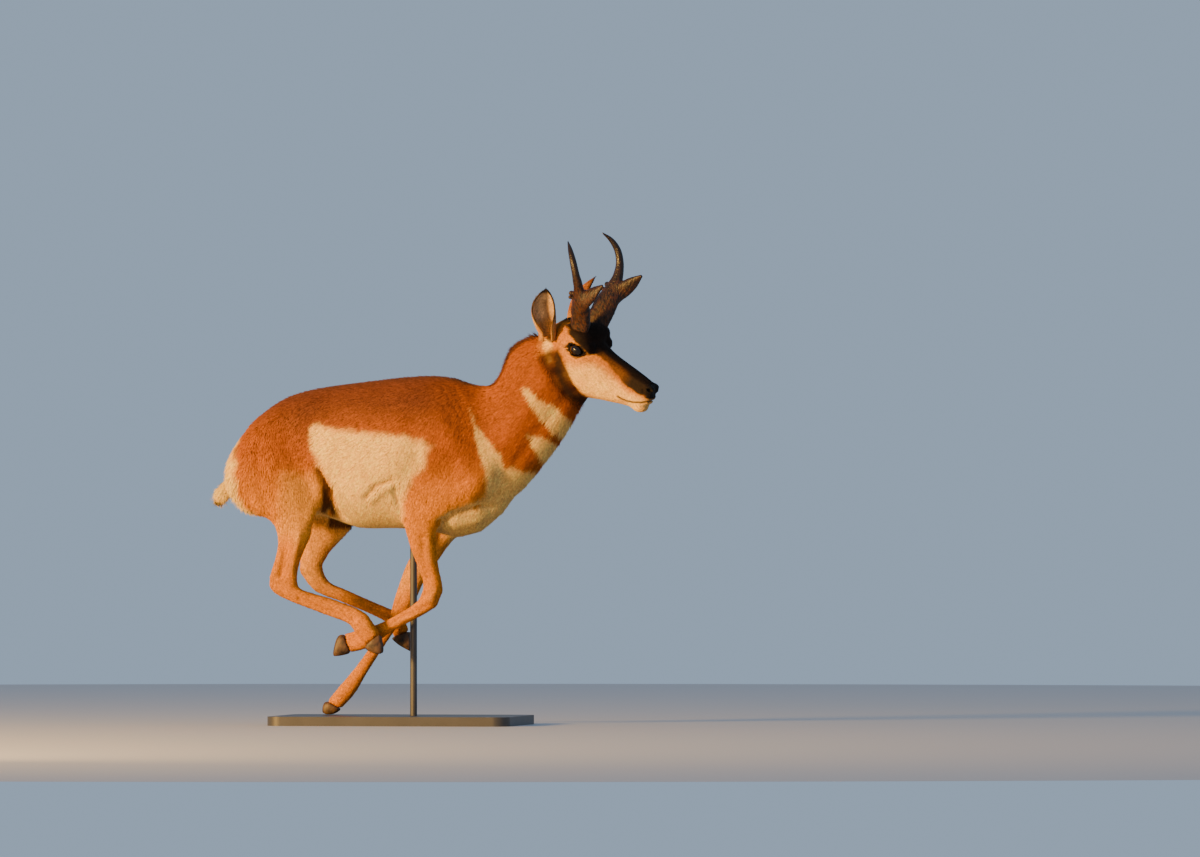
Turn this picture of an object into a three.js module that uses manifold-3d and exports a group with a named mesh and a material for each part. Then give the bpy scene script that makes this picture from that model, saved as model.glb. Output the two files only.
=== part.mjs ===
// A life-size pronghorn buck in full gallop, all four feet gathered under the body, on a display stand.
// Millimetres, +X forward, +Y to the animal's left, +Z up; the origin is on the floor under the middle.
import * as THREE from "three";
import { mergeVertices } from "three/addons/utils/BufferGeometryUtils.js";
import Module from "manifold-3d";

const wasm = await Module();
wasm.setup();

// Driving dimensions
const GAP = 0.3; // between two nodes that touch
const BASE = { length: 640, width: 420, thickness: 24, corner: 40, middleX: -95 };
const ROD = { x: -62, radius: 9, top: 700 };
const HEAD = { noseX: 601, noseY: -114, noseZ: 876, yaw: -19, pitch: 24, roll: 9 };
const EYE = { back: 230, side: 49, up: 15, radius: 20 };
const BROW = { back: 222, side: 40, up: 26, halfLength: 36, halfWidth: 25, halfHeight: 32 };
const NOSTRIL = { back: 19, side: 20, up: -13, halfLength: 10, halfWidth: 8, halfHeight: 5 };
const LID = { halfLength: 24, thickness: 3.6, upper: 11, lower: -12, outward: 8, bulge: 9 };
const LIP = { radius: 4.5, upper: 5, lower: -6, sunk: 2.5, slit: 1.8, front: 1, frontUp: -34 };
const EAR = { back: 328, side: 54, up: 22, length: 134, halfWidth: 29, halfDepth: 15, bow: 11 };
const EAR_HOLLOW = { share: 0.84, forward: 9 }; // the inner leaf that is taken out of the outer one
const EAR_LEAN = { right: { back: 0.12, out: 0.3 }, left: { back: 0.02, out: 0.42 } }; // per 0.86 upward
const CLAW = { halfWidth: 9.4, apart: 19.6 };
const SECTION_STEP = { trunk: 40, neck: 32, leg: 26, head: 20, ear: 20, horn: 20, tail: 14, claw: 12 };
const ROUND = {
  trunk: 32, neck: 28, head: 26, thigh: 24, leg: 16, tail: 16, ear: 12, shaft: 12, prong: 10, claw: 12,
}; // corners in one cross-section
const WELD = 1e-3; // points closer than this are one point

// Materials
const finish = (color, roughness) => new THREE.MeshStandardMaterial({ color, roughness, metalness: 0 });
const COAT = finish(0xa8632f, 0.9);
const PALE_COAT = finish(0xe6d3b4, 0.9);
const HORN = finish(0x2e241d, 0.45);
const HOOF = finish(0x35302c, 0.5);
const EYEBALL = finish(0x0d0a08, 0.1);
const STAND = finish(0x3a3a3c, 0.6);

// A cross-section is its middle and two half diameters: one to the front or top edge, one to the side.
// This one spans from a front point to a back point, both (x, z), with its middle y from the centre plane.
function section([frontX, frontZ, backX, backZ, y, halfWidth]) {
  return {
    middle: new THREE.Vector3((frontX + backX) / 2, y, (frontZ + backZ) / 2),
    front: new THREE.Vector3((frontX - backX) / 2, 0, (frontZ - backZ) / 2),
    side: new THREE.Vector3(0, halfWidth, 0),
  };
}

// Cross-sections square to a path of rows [x, y, z, halfDepth, halfWidth], with the depth along `ahead`.
function sectionsAlong(rows, ahead) {
  const points = rows.map(([x, y, z]) => new THREE.Vector3(x, y, z));
  return rows.map(([, , , halfDepth, halfWidth], i) => {
    const before = points[Math.max(i - 1, 0)];
    const after = points[Math.min(i + 1, points.length - 1)];
    const tangent = after.clone().sub(before).normalize();
    const front = ahead.clone().addScaledVector(tangent, -ahead.dot(tangent)).normalize();
    return {
      middle: points[i],
      front: front.clone().multiplyScalar(halfDepth),
      side: tangent.clone().cross(front).multiplyScalar(halfWidth),
    };
  });
}

// Fills in between sections along a smooth curve, a section about every `step`, in one list per stretch.
function stretches(sections, step) {
  const keys = ["middle", "front", "side"];
  const spans = sections.slice(1).map((s, i) => Math.max(s.middle.distanceTo(sections[i].middle), 1));
  const slope = (key, i) => {
    const left = Math.max(i - 1, 0);
    const right = Math.min(i + 1, sections.length - 1);
    const length = spans.slice(left, right).reduce((sum, span) => sum + span, 0);
    return sections[right][key].clone().sub(sections[left][key]).divideScalar(length);
  };
  return spans.map((span, i) => {
    const count = Math.max(1, Math.round(span / step));
    return Array.from({ length: count + 1 }, (_, k) => {
      const t = k / count;
      const between = (key) =>
        new THREE.Vector3()
          .addScaledVector(sections[i][key], 2 * t ** 3 - 3 * t ** 2 + 1)
          .addScaledVector(slope(key, i), span * (t ** 3 - 2 * t ** 2 + t))
          .addScaledVector(sections[i + 1][key], 3 * t ** 2 - 2 * t ** 3)
          .addScaledVector(slope(key, i + 1), span * (t ** 3 - t ** 2));
      return Object.fromEntries(keys.map((key) => [key, between(key)]));
    });
  });
}

const joined = (lists) => lists.flatMap((list, i) => (i ? list.slice(1) : list));

// The same body with its skin moved out by `by`, its ends too.
function grown(sections, by) {
  const last = sections.length - 1;
  return sections.map(({ middle, front, side }, i) => {
    const outward = new THREE.Vector3();
    if (i === 0) outward.subVectors(middle, sections[1].middle).setLength(by);
    if (i === last) outward.subVectors(middle, sections[last - 1].middle).setLength(by);
    return {
      middle: middle.clone().add(outward),
      front: front.clone().setLength(front.length() + by),
      side: side.clone().setLength(side.length() + by),
    };
  });
}

// A shape of section gives each angle's share of the front and the side half diameter.
const ellipse = (angle) => [Math.cos(angle), Math.sin(angle)];

// A closed skin over a row of sections.
function loft(sections, sides, shape = ellipse) {
  const corners = Array.from({ length: sides }, (_, k) => shape((2 * Math.PI * k) / sides));
  const at = ({ middle, front, side }, [along, across]) =>
    middle.clone().addScaledVector(front, along).addScaledVector(side, across);
  const points = sections.flatMap((s) => corners.map((corner) => at(s, corner)));
  const rings = sections.length;
  points.push(sections[0].middle, sections[rings - 1].middle);
  const start = rings * sides;
  const faces = [];
  for (let k = 0; k < sides; k++) {
    const next = (k + 1) % sides;
    for (let r = 0; r + 1 < rings; r++) {
      const [low, high] = [r * sides, (r + 1) * sides];
      faces.push(low + k, low + next, high + next, low + k, high + next, high + k);
    }
    faces.push(start, next, k, start + 1, (rings - 1) * sides + k, (rings - 1) * sides + next);
  }
  return solid(new THREE.BufferGeometry().setFromPoints(points).setIndex(faces));
}

// A closed geometry as a solid that can be cut and joined, turned right side out.
function solid(geometry) {
  for (const name of Object.keys(geometry.attributes)) {
    if (name !== "position") geometry.deleteAttribute(name);
  }
  const merged = mergeVertices(geometry, WELD);
  const vertProperties = merged.attributes.position.array;
  const triVerts = new Uint32Array(merged.index.array);
  const made = new wasm.Manifold(new wasm.Mesh({ numProp: 3, vertProperties, triVerts }));
  if (made.volume() > 0) return made;
  for (let i = 0; i < triVerts.length; i += 3) {
    [triVerts[i], triVerts[i + 1]] = [triVerts[i + 1], triVerts[i]];
  }
  return new wasm.Manifold(new wasm.Mesh({ numProp: 3, vertProperties, triVerts }));
}

const unite = (first, ...others) => others.reduce((whole, other) => whole.add(other), first);
const cut = (first, ...others) => others.reduce((whole, other) => whole.subtract(other), first);

// A named node: the largest body of a solid, in one finish.
function node(name, made, material) {
  const largest = made.decompose().reduce((a, b) => (b.volume() > a.volume() ? b : a));
  const { vertProperties, triVerts, numProp } = largest.getMesh();
  const points = Float32Array.from({ length: (vertProperties.length / numProp) * 3 }, (_, i) =>
    vertProperties[Math.floor(i / 3) * numProp + (i % 3)],
  );
  const geometry = new THREE.BufferGeometry();
  geometry.setAttribute("position", new THREE.BufferAttribute(points, 3));
  geometry.setIndex(new THREE.BufferAttribute(triVerts, 1)).computeVertexNormals();
  const mesh = new THREE.Mesh(geometry, material);
  mesh.name = name;
  return mesh;
}

// A ball or an egg shape with a middle and three radii.
function ball(x, y, z, radiusX, radiusY, radiusZ, sides = 16) {
  const geometry = new THREE.SphereGeometry(1, sides, sides / 2).scale(radiusX, radiusY, radiusZ);
  return solid(geometry.rotateX(Math.PI / 2).translate(x, y, z));
}

// A closed round cord along a smooth path.
function cord(points, radius, steps) {
  const circle = new THREE.Shape().absarc(0, 0, radius, 0, 2 * Math.PI);
  const extrudePath = new THREE.CatmullRomCurve3(points);
  return solid(new THREE.ExtrudeGeometry(circle, { curveSegments: 3, steps, extrudePath }));
}

// The trunk, from the rump to the front of the chest: each section from the back's line down to the belly's.
const TRUNK = [
  [-520, 746, -548, 650, 0, 34],
  [-486, 793, -520, 585, 0, 68],
  [-441, 827, -462, 556, 0, 90],
  [-388, 858, -383, 551, 0, 104],
  [-306, 879, -296, 543, 0, 116],
  [-206, 892, -209, 512, 0, 128],
  [-98, 905, -103, 510, 0, 131],
  [-21, 910, -18, 504, 0, 125],
  [48, 905, 61, 486, 0, 114],
  [108, 884, 119, 502, 0, 100],
  [156, 840, 180, 554, 0, 78],
  [187, 772, 219, 616, 0, 46],
].map(section);
// Flatter at the flanks than an ellipse, and narrower towards the breastbone.
const trunkShape = (angle) => {
  const [along, across] = [Math.cos(angle), Math.sin(angle)];
  return [along, across * (1 + 0.12 * along ** 2) * (1 + 0.08 * Math.min(along, 0))];
};
const trunkSections = joined(stretches(TRUNK, SECTION_STEP.trunk));
const trunk = loft(trunkSections, ROUND.trunk, trunkShape);
const trunkRoom = loft(grown(trunkSections, GAP), ROUND.trunk, trunkShape);

// The head, in its own frame: x forward to the nose tip, z up. Sections from the brow's line to the jaw's.
const HEAD_ROWS = [
  [-338, 36, -336, -58, 0, 36],
  [-305, 66, -300, -96, 0, 48],
  [-270, 72, -262, -116, 0, 54],
  [-235, 66, -222, -120, 0, 56],
  [-200, 47, -188, -112, 0, 53],
  [-160, 33, -150, -101, 0, 45],
  [-120, 26, -112, -92, 0, 38],
  [-80, 20, -74, -84, 0, 33],
  [-46, 14, -44, -79, 0, 30],
  [-20, 8, -22, -71, 0, 27],
  [-8, 2, -11, -57, 0, 21.5],
  [-2, -5, -4, -42, 0, 13],
].map(section);
// Full at the cheeks and narrower at the jaw.
const headShape = (angle) => {
  const [along, across] = [Math.cos(angle), Math.sin(angle)];
  return [along, across * (1 + 0.2 * Math.min(along, 0) + 0.1 * along ** 2)];
};
const headSections = joined(stretches(HEAD_ROWS, SECTION_STEP.head));
const SIDES = [["right", -1], ["left", 1]];
const bothSides = (make) => SIDES.map(([, s]) => make(s));

// The bulge of bone over the eye, grown by `by`.
function brow(s, by) {
  const radii = [BROW.halfLength, BROW.halfWidth, BROW.halfHeight].map((radius) => radius + by);
  return ball(-BROW.back, s * BROW.side, BROW.up, ...radii, 12);
}
const grownHead = loft(grown(headSections, GAP), ROUND.head, headShape);
const headRoom = unite(grownHead, ...bothSides((s) => brow(s, GAP)));

// The eyeball, grown by `by`.
function eyeball(s, by) {
  const radius = EYE.radius + by;
  return ball(-EYE.back, s * EYE.side, EYE.up, radius, radius, radius);
}

const head = new THREE.Group();
head.position.set(HEAD.noseX, HEAD.noseY, HEAD.noseZ);
head.rotation.set(...["roll", "pitch", "yaw"].map((turn) => THREE.MathUtils.degToRad(HEAD[turn])), "ZYX");
head.updateMatrix();
const inHead = (made) => made.transform(head.matrix.elements);

// The head's half width at a place along it and a height, read from the sections.
function halfWidthAt(x, z) {
  const near = headSections.reduce((a, b) => (Math.abs(b.middle.x - x) < Math.abs(a.middle.x - x) ? b : a));
  const along = THREE.MathUtils.clamp((z - near.middle.z) / near.front.length(), -1, 1);
  return near.side.length() * headShape(Math.acos(along))[1];
}

// The line between the lips, from one corner of the mouth round the front to the other, lifted by `up`.
const MOUTH = [[-64, -57], [-44, -52], [-24, -46], [-8, -40]];
function lipLine(up, inset) {
  const oneSide = (sign) =>
    MOUTH.map(([x, z]) => new THREE.Vector3(x, sign * (halfWidthAt(x, z + up) - inset), z + up));
  const front = new THREE.Vector3(LIP.front - inset, 0, LIP.frontUp + up);
  return [...oneSide(-1), front, ...oneSide(1).reverse()];
}

// The skull with brows, lids and lips, less the slit of the mouth, the nostrils and the eyes' rooms.
function headSolid() {
  const skull = loft(headSections, ROUND.head, headShape);
  const brows = bothSides((s) => brow(s, 0));
  const lids = bothSides((s) => unite(lid(s, LID.upper), lid(s, LID.lower)));
  const lips = [LIP.upper, LIP.lower].map((up) => cord(lipLine(up, LIP.sunk), LIP.radius, 12));
  const slit = cord(lipLine(0, 1), LIP.slit, 12);
  const { back, side, up, halfLength, halfWidth, halfHeight } = NOSTRIL;
  const nostrils = bothSides((s) => ball(-back, s * side, up, halfLength, halfWidth, halfHeight, 8));
  const eyeRooms = bothSides((s) => eyeball(s, GAP));
  return cut(unite(skull, ...brows, ...lids, ...lips), slit, ...nostrils, ...eyeRooms);
}

// An eyelid: a thick cord bent over the eyeball, from the front corner to the back one.
function lid(sign, rise) {
  const points = Array.from({ length: 7 }, (_, k) => {
    const t = (k / 6) * Math.PI;
    const bulge = Math.sin(t);
    const outward = EYE.side + LID.outward + LID.bulge * bulge;
    return new THREE.Vector3(-EYE.back + LID.halfLength * Math.cos(t), sign * outward, EYE.up + rise * bulge);
  });
  return cord(points, LID.thickness, 8);
}

// An ear's share of its length, width and depth, from the root to the tip.
const LEAF = [
  [-0.12, 0.5, 0.9], [0.08, 0.68, 1], [0.3, 0.94, 1], [0.52, 1, 0.9], [0.76, 0.68, 0.6], [1, 0.08, 0.12],
];
// An ear: a leaf-shaped cup, its hollow facing out and a little forward.
function ear(sign) {
  const lean = sign > 0 ? EAR_LEAN.left : EAR_LEAN.right;
  const axis = new THREE.Vector3(-lean.back, sign * lean.out, 0.86).normalize();
  const opening = new THREE.Vector3(0.5, 0.82 * sign, 0.15);
  const root = new THREE.Vector3(-EAR.back, sign * EAR.side, EAR.up);
  const leaf = (scale, towards, from, by = 0) => {
    const rows = LEAF.slice(from).map(([t, wide, deep]) => {
      const p = root.clone().addScaledVector(axis, t * EAR.length * (from ? 0.96 : 1));
      p.addScaledVector(opening, towards * deep);
      p.x -= EAR.bow * Math.sin(Math.PI * THREE.MathUtils.clamp(t, 0, 1));
      return [p.x, p.y, p.z, EAR.halfDepth * deep * scale, EAR.halfWidth * wide * scale];
    });
    const sections = joined(stretches(sectionsAlong(rows, opening), SECTION_STEP.ear));
    return loft(grown(sections, by), ROUND.ear);
  };
  return { cup: cut(leaf(1, 0, 0), leaf(EAR_HOLLOW.share, EAR_HOLLOW.forward, 1)), room: leaf(1, 0, 0, GAP) };
}

// A horn: a flattened shaft that leans out and back to a hooked tip, with one broad prong in front.
const SHAFT = [
  [-249, 36, 40, 30, 18], [-248, 42, 72, 31, 18], [-248, 60, 116, 31, 17], [-250, 81, 157, 24, 14],
  [-257, 96, 190, 14, 11], [-269, 107, 221, 10.5, 9.5], [-287, 108, 250, 9, 8.5], [-309, 99, 271, 6.5, 6],
  [-332, 83, 284, 1.5, 1.5],
];
const PRONG = [
  [-249, 77, 129, 19, 9], [-229, 87, 162, 18, 9], [-209, 93, 193, 12.5, 7], [-190, 95, 222, 2, 2],
];
const KNOBS = [[-276, 86, 161, 7], [-279, 79, 147, 6], [-248, 74, 128, 5]];
function horn(sign) {
  const mirrored = (rows) => rows.map(([x, y, z, ...half]) => [x, sign * y, z, ...half]);
  const ahead = new THREE.Vector3(0.93, 0.3 * sign, 0.2);
  const branch = (rows, sides) =>
    loft(joined(stretches(sectionsAlong(mirrored(rows), ahead), SECTION_STEP.horn)), sides);
  const knobs = mirrored(KNOBS).map(([x, y, z, radius]) => ball(x, y, z, radius, radius * 0.8, radius, 6));
  return unite(branch(SHAFT, ROUND.shaft), branch(PRONG, ROUND.prong), ...knobs);
}

head.add(node("head", headSolid(), COAT));
for (const [side, s] of SIDES) {
  head.add(node(`horn_${side}`, cut(horn(s), headRoom), HORN));
  head.add(node(`ear_${side}`, cut(ear(s).cup, headRoom), COAT));
  head.add(node(`eye_${side}`, eyeball(s, 0), EYEBALL));
}

// The neck, from inside the chest to inside the skull: each section from the nape to the throat.
const NECK = [
  [108, 887, 180, 564, 0, 84],
  [145, 884, 232, 616, 0, 78],
  [169, 907, 291, 686, -3, 72],
  [186, 944, 331, 738, -7, 67],
  [203, 983, 364, 788, -12, 62],
  [233, 1001, 386, 829, -17, 58],
  [276, 1017, 403, 850, -22, 54],
  [324, 1035, 425, 863, -30, 46],
].map(section);

const neckSections = joined(stretches(NECK, SECTION_STEP.neck));
const neckRoom = loft(grown(neckSections, GAP), ROUND.neck);

// The tail, held down against the rump: sections from its upper side to its under side.
const TAIL = [
  [-520, 700, -500, 640, 0, 16],
  [-565, 653, -536, 601, 0, 20],
  [-589, 621, -547, 588, 0, 22],
  [-598, 593, -562, 572, 0, 19],
  [-602, 569, -578, 560, 0, 10],
].map(section);
const tail = loft(joined(stretches(TAIL, SECTION_STEP.tail)), ROUND.tail);

// Legs: sections from the front edge to the back one, [front x, z, back x, z, middle y, half width].
// `parts` names each length and the section where it ends. `claw` continues from the last of them.
const LEGS = {
  hind_right: {
    rows: [
      [-353, 840, -496, 767, -48, 38], [-304, 741, -541, 694, -60, 50], [-281, 653, -545, 624, -68, 52],
      [-282, 601, -507, 564, -75, 46], [-302, 549, -437, 538, -82, 37], [-314, 491, -410, 499, -88, 29],
      [-342, 429, -408, 447, -94, 22], [-347, 361, -428, 364, -98, 19], [-312, 346, -397, 333, -100, 18],
      [-271, 335, -291, 291, -103, 15.5], [-192, 308, -210, 260, -109, 14.5],
      [-163, 291, -194, 237, -111, 18], [-128, 239, -168, 208, -113, 17],
    ],
    parts: [["thigh", 4], ["shank", 8], ["shin", 11], ["pastern", 12]],
    claw: [[-124, 224, -168, 198], [-121, 205, -152, 190], [-122, 190, -133, 185]],
  },
  hind_left: {
    rows: [
      [-338, 840, -492, 762, 48, 38], [-253, 741, -531, 694, 60, 50], [-210, 642, -506, 611, 70, 50],
      [-201, 585, -460, 564, 77, 44], [-213, 541, -413, 533, 84, 36], [-256, 491, -375, 481, 90, 29],
      [-299, 450, -381, 439, 95, 22], [-321, 416, -384, 403, 98, 20], [-306, 374, -345, 346, 102, 18],
      [-269, 356, -285, 322, 104, 15], [-146, 303, -165, 270, 110, 15], [-112, 289, -141, 250, 112, 18],
      [-93, 244, -140, 226, 113, 17],
    ],
    parts: [["thigh", 4], ["shank", 8], ["shin", 11], ["pastern", 12]],
    claw: [[-90, 231, -139, 221], [-89, 208, -118, 204], [-89, 190, -98, 194]],
  },
  fore_right: {
    rows: [
      [121, 845, 16, 866, -45, 30], [167, 741, -34, 780, -62, 40], [179, 637, -77, 668, -72, 42],
      [122, 572, -105, 590, -77, 40], [35, 533, -84, 541, -78, 34], [16, 494, -68, 491, -77, 27],
      [16, 447, -55, 452, -76, 22], [21, 403, -34, 403, -74, 19], [31, 351, -24, 359, -72, 20],
      [15, 309, -35, 328, -70, 18], [-14, 290, -54, 313, -68, 15], [-110, 239, -128, 272, -65, 13.5],
      [-166, 200, -192, 250, -63, 18.5], [-216, 187, -234, 239, -63, 17],
    ],
    parts: [["shoulder", 4], ["forearm", 9], ["shin", 12], ["pastern", 13]],
    claw: [[-232, 182, -249, 234], [-248, 179, -256, 216], [-260, 179, -261, 190]],
  },
  fore_left: {
    rows: [
      [137, 845, 32, 866, 45, 30], [177, 741, -3, 780, 62, 40], [185, 637, -31, 663, 72, 42],
      [166, 564, -32, 564, 77, 40], [95, 512, -24, 528, 76, 34], [37, 484, -39, 497, 74, 27],
      [-4, 432, -76, 450, 70, 22], [-36, 390, -99, 408, 67, 19], [-64, 330, -127, 325, 64, 20],
      [-77, 304, -135, 296, 63, 18.5], [-111, 260, -138, 277, 62, 14], [-199, 126, -230, 147, 57, 14.5],
      [-225, 81, -264, 107, 55, 18.5], [-264, 40, -301, 62, 54, 17],
    ],
    parts: [["shoulder", 4], ["forearm", 9], ["shin", 12], ["pastern", 13]],
    claw: [[-272, 33, -310, 55], [-285, 26, -313, 41], [-300, 25, -312, 31]],
  },
};

// Moves a section forward along its path, so that two lengths that meet there keep the gap.
function steppedOn(sections, by) {
  const ahead = new THREE.Vector3().subVectors(sections[1].middle, sections[0].middle).setLength(by);
  const [first, ...rest] = sections;
  return [{ ...first, middle: first.middle.clone().add(ahead) }, ...rest];
}

// A leg's lengths, cut clear of the trunk and the neck, and the two claws of its hoof.
function leg(name, { rows, parts, claw }) {
  const lengths = stretches(rows.map(section), SECTION_STEP.leg);
  const nodes = [];
  let from = 0;
  for (const [part, to] of parts) {
    const sections = joined(lengths.slice(from, to));
    const made = from ? loft(steppedOn(sections, GAP), ROUND.leg) : loft(sections, ROUND.thigh);
    nodes.push(node(`${name}_${part}`, cut(made, trunkRoom, neckRoom), COAT));
    from = to;
  }
  const last = rows[rows.length - 1];
  const taper = [0.92, 1, 0.9, 0.5];
  for (const [side, s] of SIDES) {
    const y = last[4] + (s * CLAW.apart) / 2;
    const clawRows = [last.slice(0, 4), ...claw].map((row, i) => [...row, y, CLAW.halfWidth * taper[i]]);
    const sections = steppedOn(joined(stretches(clawRows.map(section), SECTION_STEP.claw)), GAP);
    nodes.push(node(`${name}_hoof_${side}`, loft(sections, ROUND.claw), HOOF));
  }
  return nodes;
}

const thighRooms = [LEGS.hind_right, LEGS.hind_left].map(({ rows, parts: [[, thighEnd]] }) => {
  const lengths = stretches(rows.map(section), SECTION_STEP.leg);
  return loft(grown(joined(lengths.slice(0, thighEnd)), GAP), ROUND.thigh);
});

const animal = new THREE.Group();
animal.add(node("torso", trunk, COAT), head);
const headRooms = [headRoom, ...bothSides((s) => ear(s).room)].map(inHead);
animal.add(node("neck", cut(loft(neckSections, ROUND.neck), trunkRoom, ...headRooms), COAT));
animal.add(node("tail", cut(tail, trunkRoom, ...thighRooms), PALE_COAT));
for (const [name, legPlan] of Object.entries(LEGS)) animal.add(...leg(name, legPlan));

// The stand: a flat plate with round corners and one rod up to the breastbone.
function stand() {
  const { length, width, thickness, corner, middleX } = BASE;
  const outline = new THREE.Shape();
  const [x, y] = [length / 2 - corner, width / 2 - corner];
  [[x, y], [-x, y], [-x, -y], [x, -y]].forEach(([cornerX, cornerY], quarter) => {
    outline.absarc(cornerX, cornerY, corner, (quarter * Math.PI) / 2, ((quarter + 1) * Math.PI) / 2);
  });
  const extrusion = { depth: thickness, bevelEnabled: false, curveSegments: 8 };
  const plate = new THREE.ExtrudeGeometry(outline, extrusion);
  const foot = thickness + GAP;
  const rod = new THREE.CylinderGeometry(ROD.radius, ROD.radius, ROD.top - foot, 24);
  rod.rotateX(Math.PI / 2).translate(ROD.x, 0, (ROD.top + foot) / 2);
  return [
    node("stand_base", solid(plate.translate(middleX, 0, 0)), STAND),
    node("stand_rod", cut(solid(rod), trunkRoom), STAND),
  ];
}
animal.add(...stand());

export default animal;
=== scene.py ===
# %% [markdown]
# A pronghorn buck at full gallop, as a museum would show it: a mount on a plain display stand.
# The solid model gives every length of the body its place. This script makes what the eye sees:
# skin, coat, horns, eyes and hooves. All of it could be sculpted by hand, but here every form is a
# number that can be changed. First the model is loaded and its box is noted down.

# %% load the frame
import math
import bmesh
import bpy
import numpy as np
import openvdb as vdb
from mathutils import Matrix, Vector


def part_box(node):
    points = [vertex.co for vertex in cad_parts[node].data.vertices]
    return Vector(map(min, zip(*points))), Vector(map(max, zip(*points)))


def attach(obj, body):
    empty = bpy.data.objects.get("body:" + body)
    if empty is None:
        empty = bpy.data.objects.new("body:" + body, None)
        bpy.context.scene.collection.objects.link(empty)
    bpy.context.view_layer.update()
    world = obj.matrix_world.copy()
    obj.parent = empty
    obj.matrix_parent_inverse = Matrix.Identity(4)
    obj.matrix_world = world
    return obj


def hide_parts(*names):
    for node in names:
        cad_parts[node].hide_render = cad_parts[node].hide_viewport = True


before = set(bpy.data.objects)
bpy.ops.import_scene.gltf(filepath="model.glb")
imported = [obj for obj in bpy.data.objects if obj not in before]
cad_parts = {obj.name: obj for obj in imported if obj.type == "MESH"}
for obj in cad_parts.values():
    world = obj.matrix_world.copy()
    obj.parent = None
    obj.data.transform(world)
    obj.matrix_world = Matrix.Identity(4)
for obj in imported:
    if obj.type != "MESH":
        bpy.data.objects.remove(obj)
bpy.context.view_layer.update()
MM = 0.001
rng = np.random.default_rng(7)

# %% [markdown]
# The camera stands far off on the animal's right, as a long lens does, and a little ahead of its
# side, so the body is seen almost in profile. A camera without perspective would look much the
# same, but a very long lens keeps a place to stand, from which the near and the far legs look
# equally big. The frame is as wide as the photographed one, which takes in 3.12 m of country.

# %% camera
VIEW_TURN = math.radians(10)
VIEW_WIDTH = 3.12
LENS, SENSOR = 500.0, 36.0
ahead_of_view = np.array([math.cos(VIEW_TURN), math.sin(VIEW_TURN), 0])
into_view = np.array([-math.sin(VIEW_TURN), math.cos(VIEW_TURN), 0])
aim = 0.4238 * ahead_of_view + np.array([0, 0, 0.771])
stand_off = VIEW_WIDTH * LENS / SENSOR
camera = bpy.data.objects.new("camera", bpy.data.cameras.new("camera"))
camera.data.lens, camera.data.sensor_width = LENS, SENSOR
camera.data.clip_end = 200
camera.location = aim - stand_off * into_view
camera.rotation_euler = (math.pi / 2, 0, VIEW_TURN)
bpy.context.scene.collection.objects.link(camera)
bpy.context.scene.camera = camera
print("camera", [round(v, 2) for v in camera.location])

# %% [markdown]
# The studio is a round pale floor in an even, pale blue room, so the model can be seen from every
# side. One warm lamp stands low on the left, as the evening sun does, a weaker one throws light
# up from the ground, and the room itself fills the shadows. A curved wall behind the model would
# give the same picture, but only from the front.

# %% mesh and material helpers
def add_mesh(name, points, faces, smooth=True):
    """A mesh object at the origin from an array of points and an array of faces of equal size."""
    mesh = bpy.data.meshes.new(name)
    points, faces = np.asarray(points, np.float32), np.asarray(faces, np.int32)
    mesh.vertices.add(len(points))
    mesh.vertices.foreach_set("co", points.ravel())
    mesh.loops.add(faces.size)
    mesh.loops.foreach_set("vertex_index", faces.ravel())
    mesh.polygons.add(len(faces))
    starts = np.arange(0, faces.size, faces.shape[1], dtype=np.int32)
    mesh.polygons.foreach_set("loop_start", starts)
    mesh.polygons.foreach_set("use_smooth", np.full(len(faces), smooth))
    mesh.update(calc_edges=True)
    piece = bpy.data.objects.new(name, mesh)
    bpy.context.scene.collection.objects.link(piece)
    return piece


def new_material(name, color, roughness, **sockets):
    """A plain shader with its constant values set on its own sockets, and its node tree."""
    material = bpy.data.materials.new(name)
    material.use_nodes = True
    shader = material.node_tree.nodes["Principled BSDF"]
    shader.inputs["Base Color"].default_value = (*color, 1)
    shader.inputs["Roughness"].default_value = roughness
    for socket, value in sockets.items():
        shader.inputs[socket.replace("_", " ")].default_value = value
    return material, material.node_tree, shader


def noise_on_object(tree, scale, detail=3.0, stretch=(1, 1, 1)):
    """A noise pattern on Object coordinates, stretched by a Mapping node."""
    place = tree.nodes.new("ShaderNodeTexCoord")
    mapping = tree.nodes.new("ShaderNodeMapping")
    mapping.inputs["Scale"].default_value = stretch
    noise = tree.nodes.new("ShaderNodeTexNoise")
    noise.inputs["Scale"].default_value = scale
    noise.inputs["Detail"].default_value = detail
    tree.links.new(place.outputs["Object"], mapping.inputs["Vector"])
    tree.links.new(mapping.outputs["Vector"], noise.inputs["Vector"])
    return noise.outputs["Fac"]


def add_bump(tree, shader, height, strength, distance):
    """Bump from a height pattern."""
    bump = tree.nodes.new("ShaderNodeBump")
    bump.inputs["Strength"].default_value = strength
    bump.inputs["Distance"].default_value = distance
    tree.links.new(height, bump.inputs["Height"])
    tree.links.new(bump.outputs["Normal"], shader.inputs["Normal"])


def ramp_between(tree, factor, low, high, color_low, color_high):
    """Two colours, blended while the factor goes from low to high."""
    ramp = tree.nodes.new("ShaderNodeValToRGB")
    ramp.color_ramp.elements[0].position, ramp.color_ramp.elements[1].position = low, high
    ramp.color_ramp.elements[0].color = (*color_low, 1)
    ramp.color_ramp.elements[1].color = (*color_high, 1)
    tree.links.new(factor, ramp.inputs["Fac"])
    return ramp.outputs["Color"]


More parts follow.
